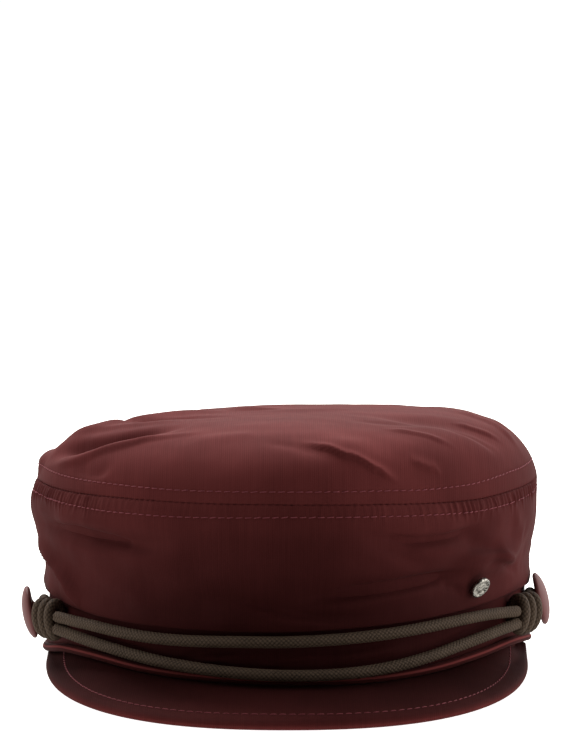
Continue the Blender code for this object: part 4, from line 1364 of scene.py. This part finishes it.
# %% One stitch, and rows of them
STITCH_PITCH = 3.1 * MM
STITCH_LENGTH = 2.5 * MM
THREAD_RADIUS = 0.17 * MM
THREAD_SIDES = 6
# Places along a stitch, with the height and the thickness of the thread there
STITCH_SHAPE = (
    (-0.50, -0.9, 0.45), (-0.40, 0.3, 0.9), (-0.15, 0.7, 1.0),
    (0.15, 0.7, 1.0), (0.40, 0.3, 0.9), (0.50, -0.9, 0.45),
)
STITCH_SLANTS = (2, 9)
STITCH_STRETCHES = (0.92, 1.06)


def one_stitch():
    """A stitch along X on a cloth that faces Z: its points, and faces of their numbers."""
    turn = 2 * np.pi * np.arange(THREAD_SIDES) / THREAD_SIDES
    points, faces = [], []
    for along, rise, size in STITCH_SHAPE:
        y, z = np.cos(turn) * size, rise + np.sin(turn) * size
        points += [(along * STITCH_LENGTH, THREAD_RADIUS * a, THREAD_RADIUS * b) for a, b in zip(y, z)]
    last = len(points) - THREAD_SIDES
    for base in range(0, last, THREAD_SIDES):
        for side in range(THREAD_SIDES):
            a, b = base + side, base + (side + 1) % THREAD_SIDES
            faces.append([a, b, b + THREAD_SIDES, a + THREAD_SIDES])
    return points, faces + [list(range(THREAD_SIDES))[::-1], list(range(last, last + THREAD_SIDES))]


def stitched(name, line, normals, seed):
    """A row of stitches along a line of points on the cloth, as one mesh."""
    draw = random.Random(seed)
    lengths = run_lengths(line)
    count = int(lengths[-1] // STITCH_PITCH)
    stitch_points, stitch_faces = one_stitch()
    points, faces = [], []
    for i in range(count):
        at = (i + 0.5) * lengths[-1] / count
        middle, ahead = at_lengths(at, lengths, line), at_lengths(at + MM, lengths, line)
        normal = at_lengths(at, lengths, normals)
        normal /= np.linalg.norm(normal)
        along = ahead - middle
        along -= normal * (along @ normal)
        along /= np.linalg.norm(along)
        across = np.cross(normal, along)
        slant = math.radians(draw.uniform(*STITCH_SLANTS))
        along, across = (
            along * math.cos(slant) + across * math.sin(slant),
            across * math.cos(slant) - along * math.sin(slant),
        )
        along = along * draw.uniform(*STITCH_STRETCHES)
        faces += [[len(points) + k for k in face] for face in stitch_faces]
        points += [tuple(middle + x * along + y * across + z * normal) for x, y, z in stitch_points]
    print(name, count, "stitches")
    return new_piece(name, points, faces)


thread, tree = new_material("rose_polyester_thread", Roughness=0.6, Specular_IOR_Level=0.1)
colour_by(tree, noise_at(tree, place_in(tree), 2500.0, 1.0), linear("#6C2E34"), linear("#9C545A"))

tip_row = np.interp(stitch_off(TIP_STITCH, TIP_COLUMNS), TIP_PLACES, np.arange(len(TIP_PLACES)))
side_share = 1 - stitch_off(SIDE_STITCH, SIDE_COLUMNS) / side_heights
side_row = np.interp(side_share, SIDE_PLACES, np.arange(len(SIDE_PLACES)))
for name, outer, facing, row, seed in (
    ("topstitch_tip", tip_outer, tip_normals, tip_row, 1),
    ("topstitch_side", side_outer, side_normals, side_row, 2),
):
    line, normals = (ring_closed(grid_at(grid, row, np.arange(len(row)))) for grid in (outer, facing))
    finish_piece(put_on(stitched(name, line, normals, seed), thread), None)

# %% The peak's stitching
PEAK_STITCH_HALF_WIDTH = 81.8 * MM
PEAK_STITCH_REACH = 136.7 * MM
PEAK_STITCH_POWER = 2 / 2.55
PEAK_STITCH_END = 17 * MM
PEAK_STITCH_STEPS = 500
DROP_FROM = 50 * MM


def peak_stitch_line():
    """The line of the topstitching and its normals, dropped on the peak from above."""
    faces = [p.vertices for p in peak.data.polygons]
    drop = BVHTree.FromPolygons([v.co for v in peak.data.vertices], faces)
    end = math.asin((PEAK_STITCH_END / PEAK_STITCH_REACH) ** (1 / PEAK_STITCH_POWER))
    landings = []
    for turn in np.linspace(end, math.pi - end, PEAK_STITCH_STEPS):
        across = math.copysign(abs(math.cos(turn)) ** PEAK_STITCH_POWER, math.cos(turn))
        ahead = math.sin(turn) ** PEAK_STITCH_POWER
        start = Vector((-across * PEAK_STITCH_HALF_WIDTH, -ahead * PEAK_STITCH_REACH, DROP_FROM))
        landing, normal, _, _ = drop.ray_cast(start, Vector((0, 0, -1)))
        if landing:
            landings.append((landing, normal))
    return np.array(landings).transpose(1, 0, 2)


finish_piece(put_on(stitched("topstitch_peak", *peak_stitch_line(), 3), thread), None)
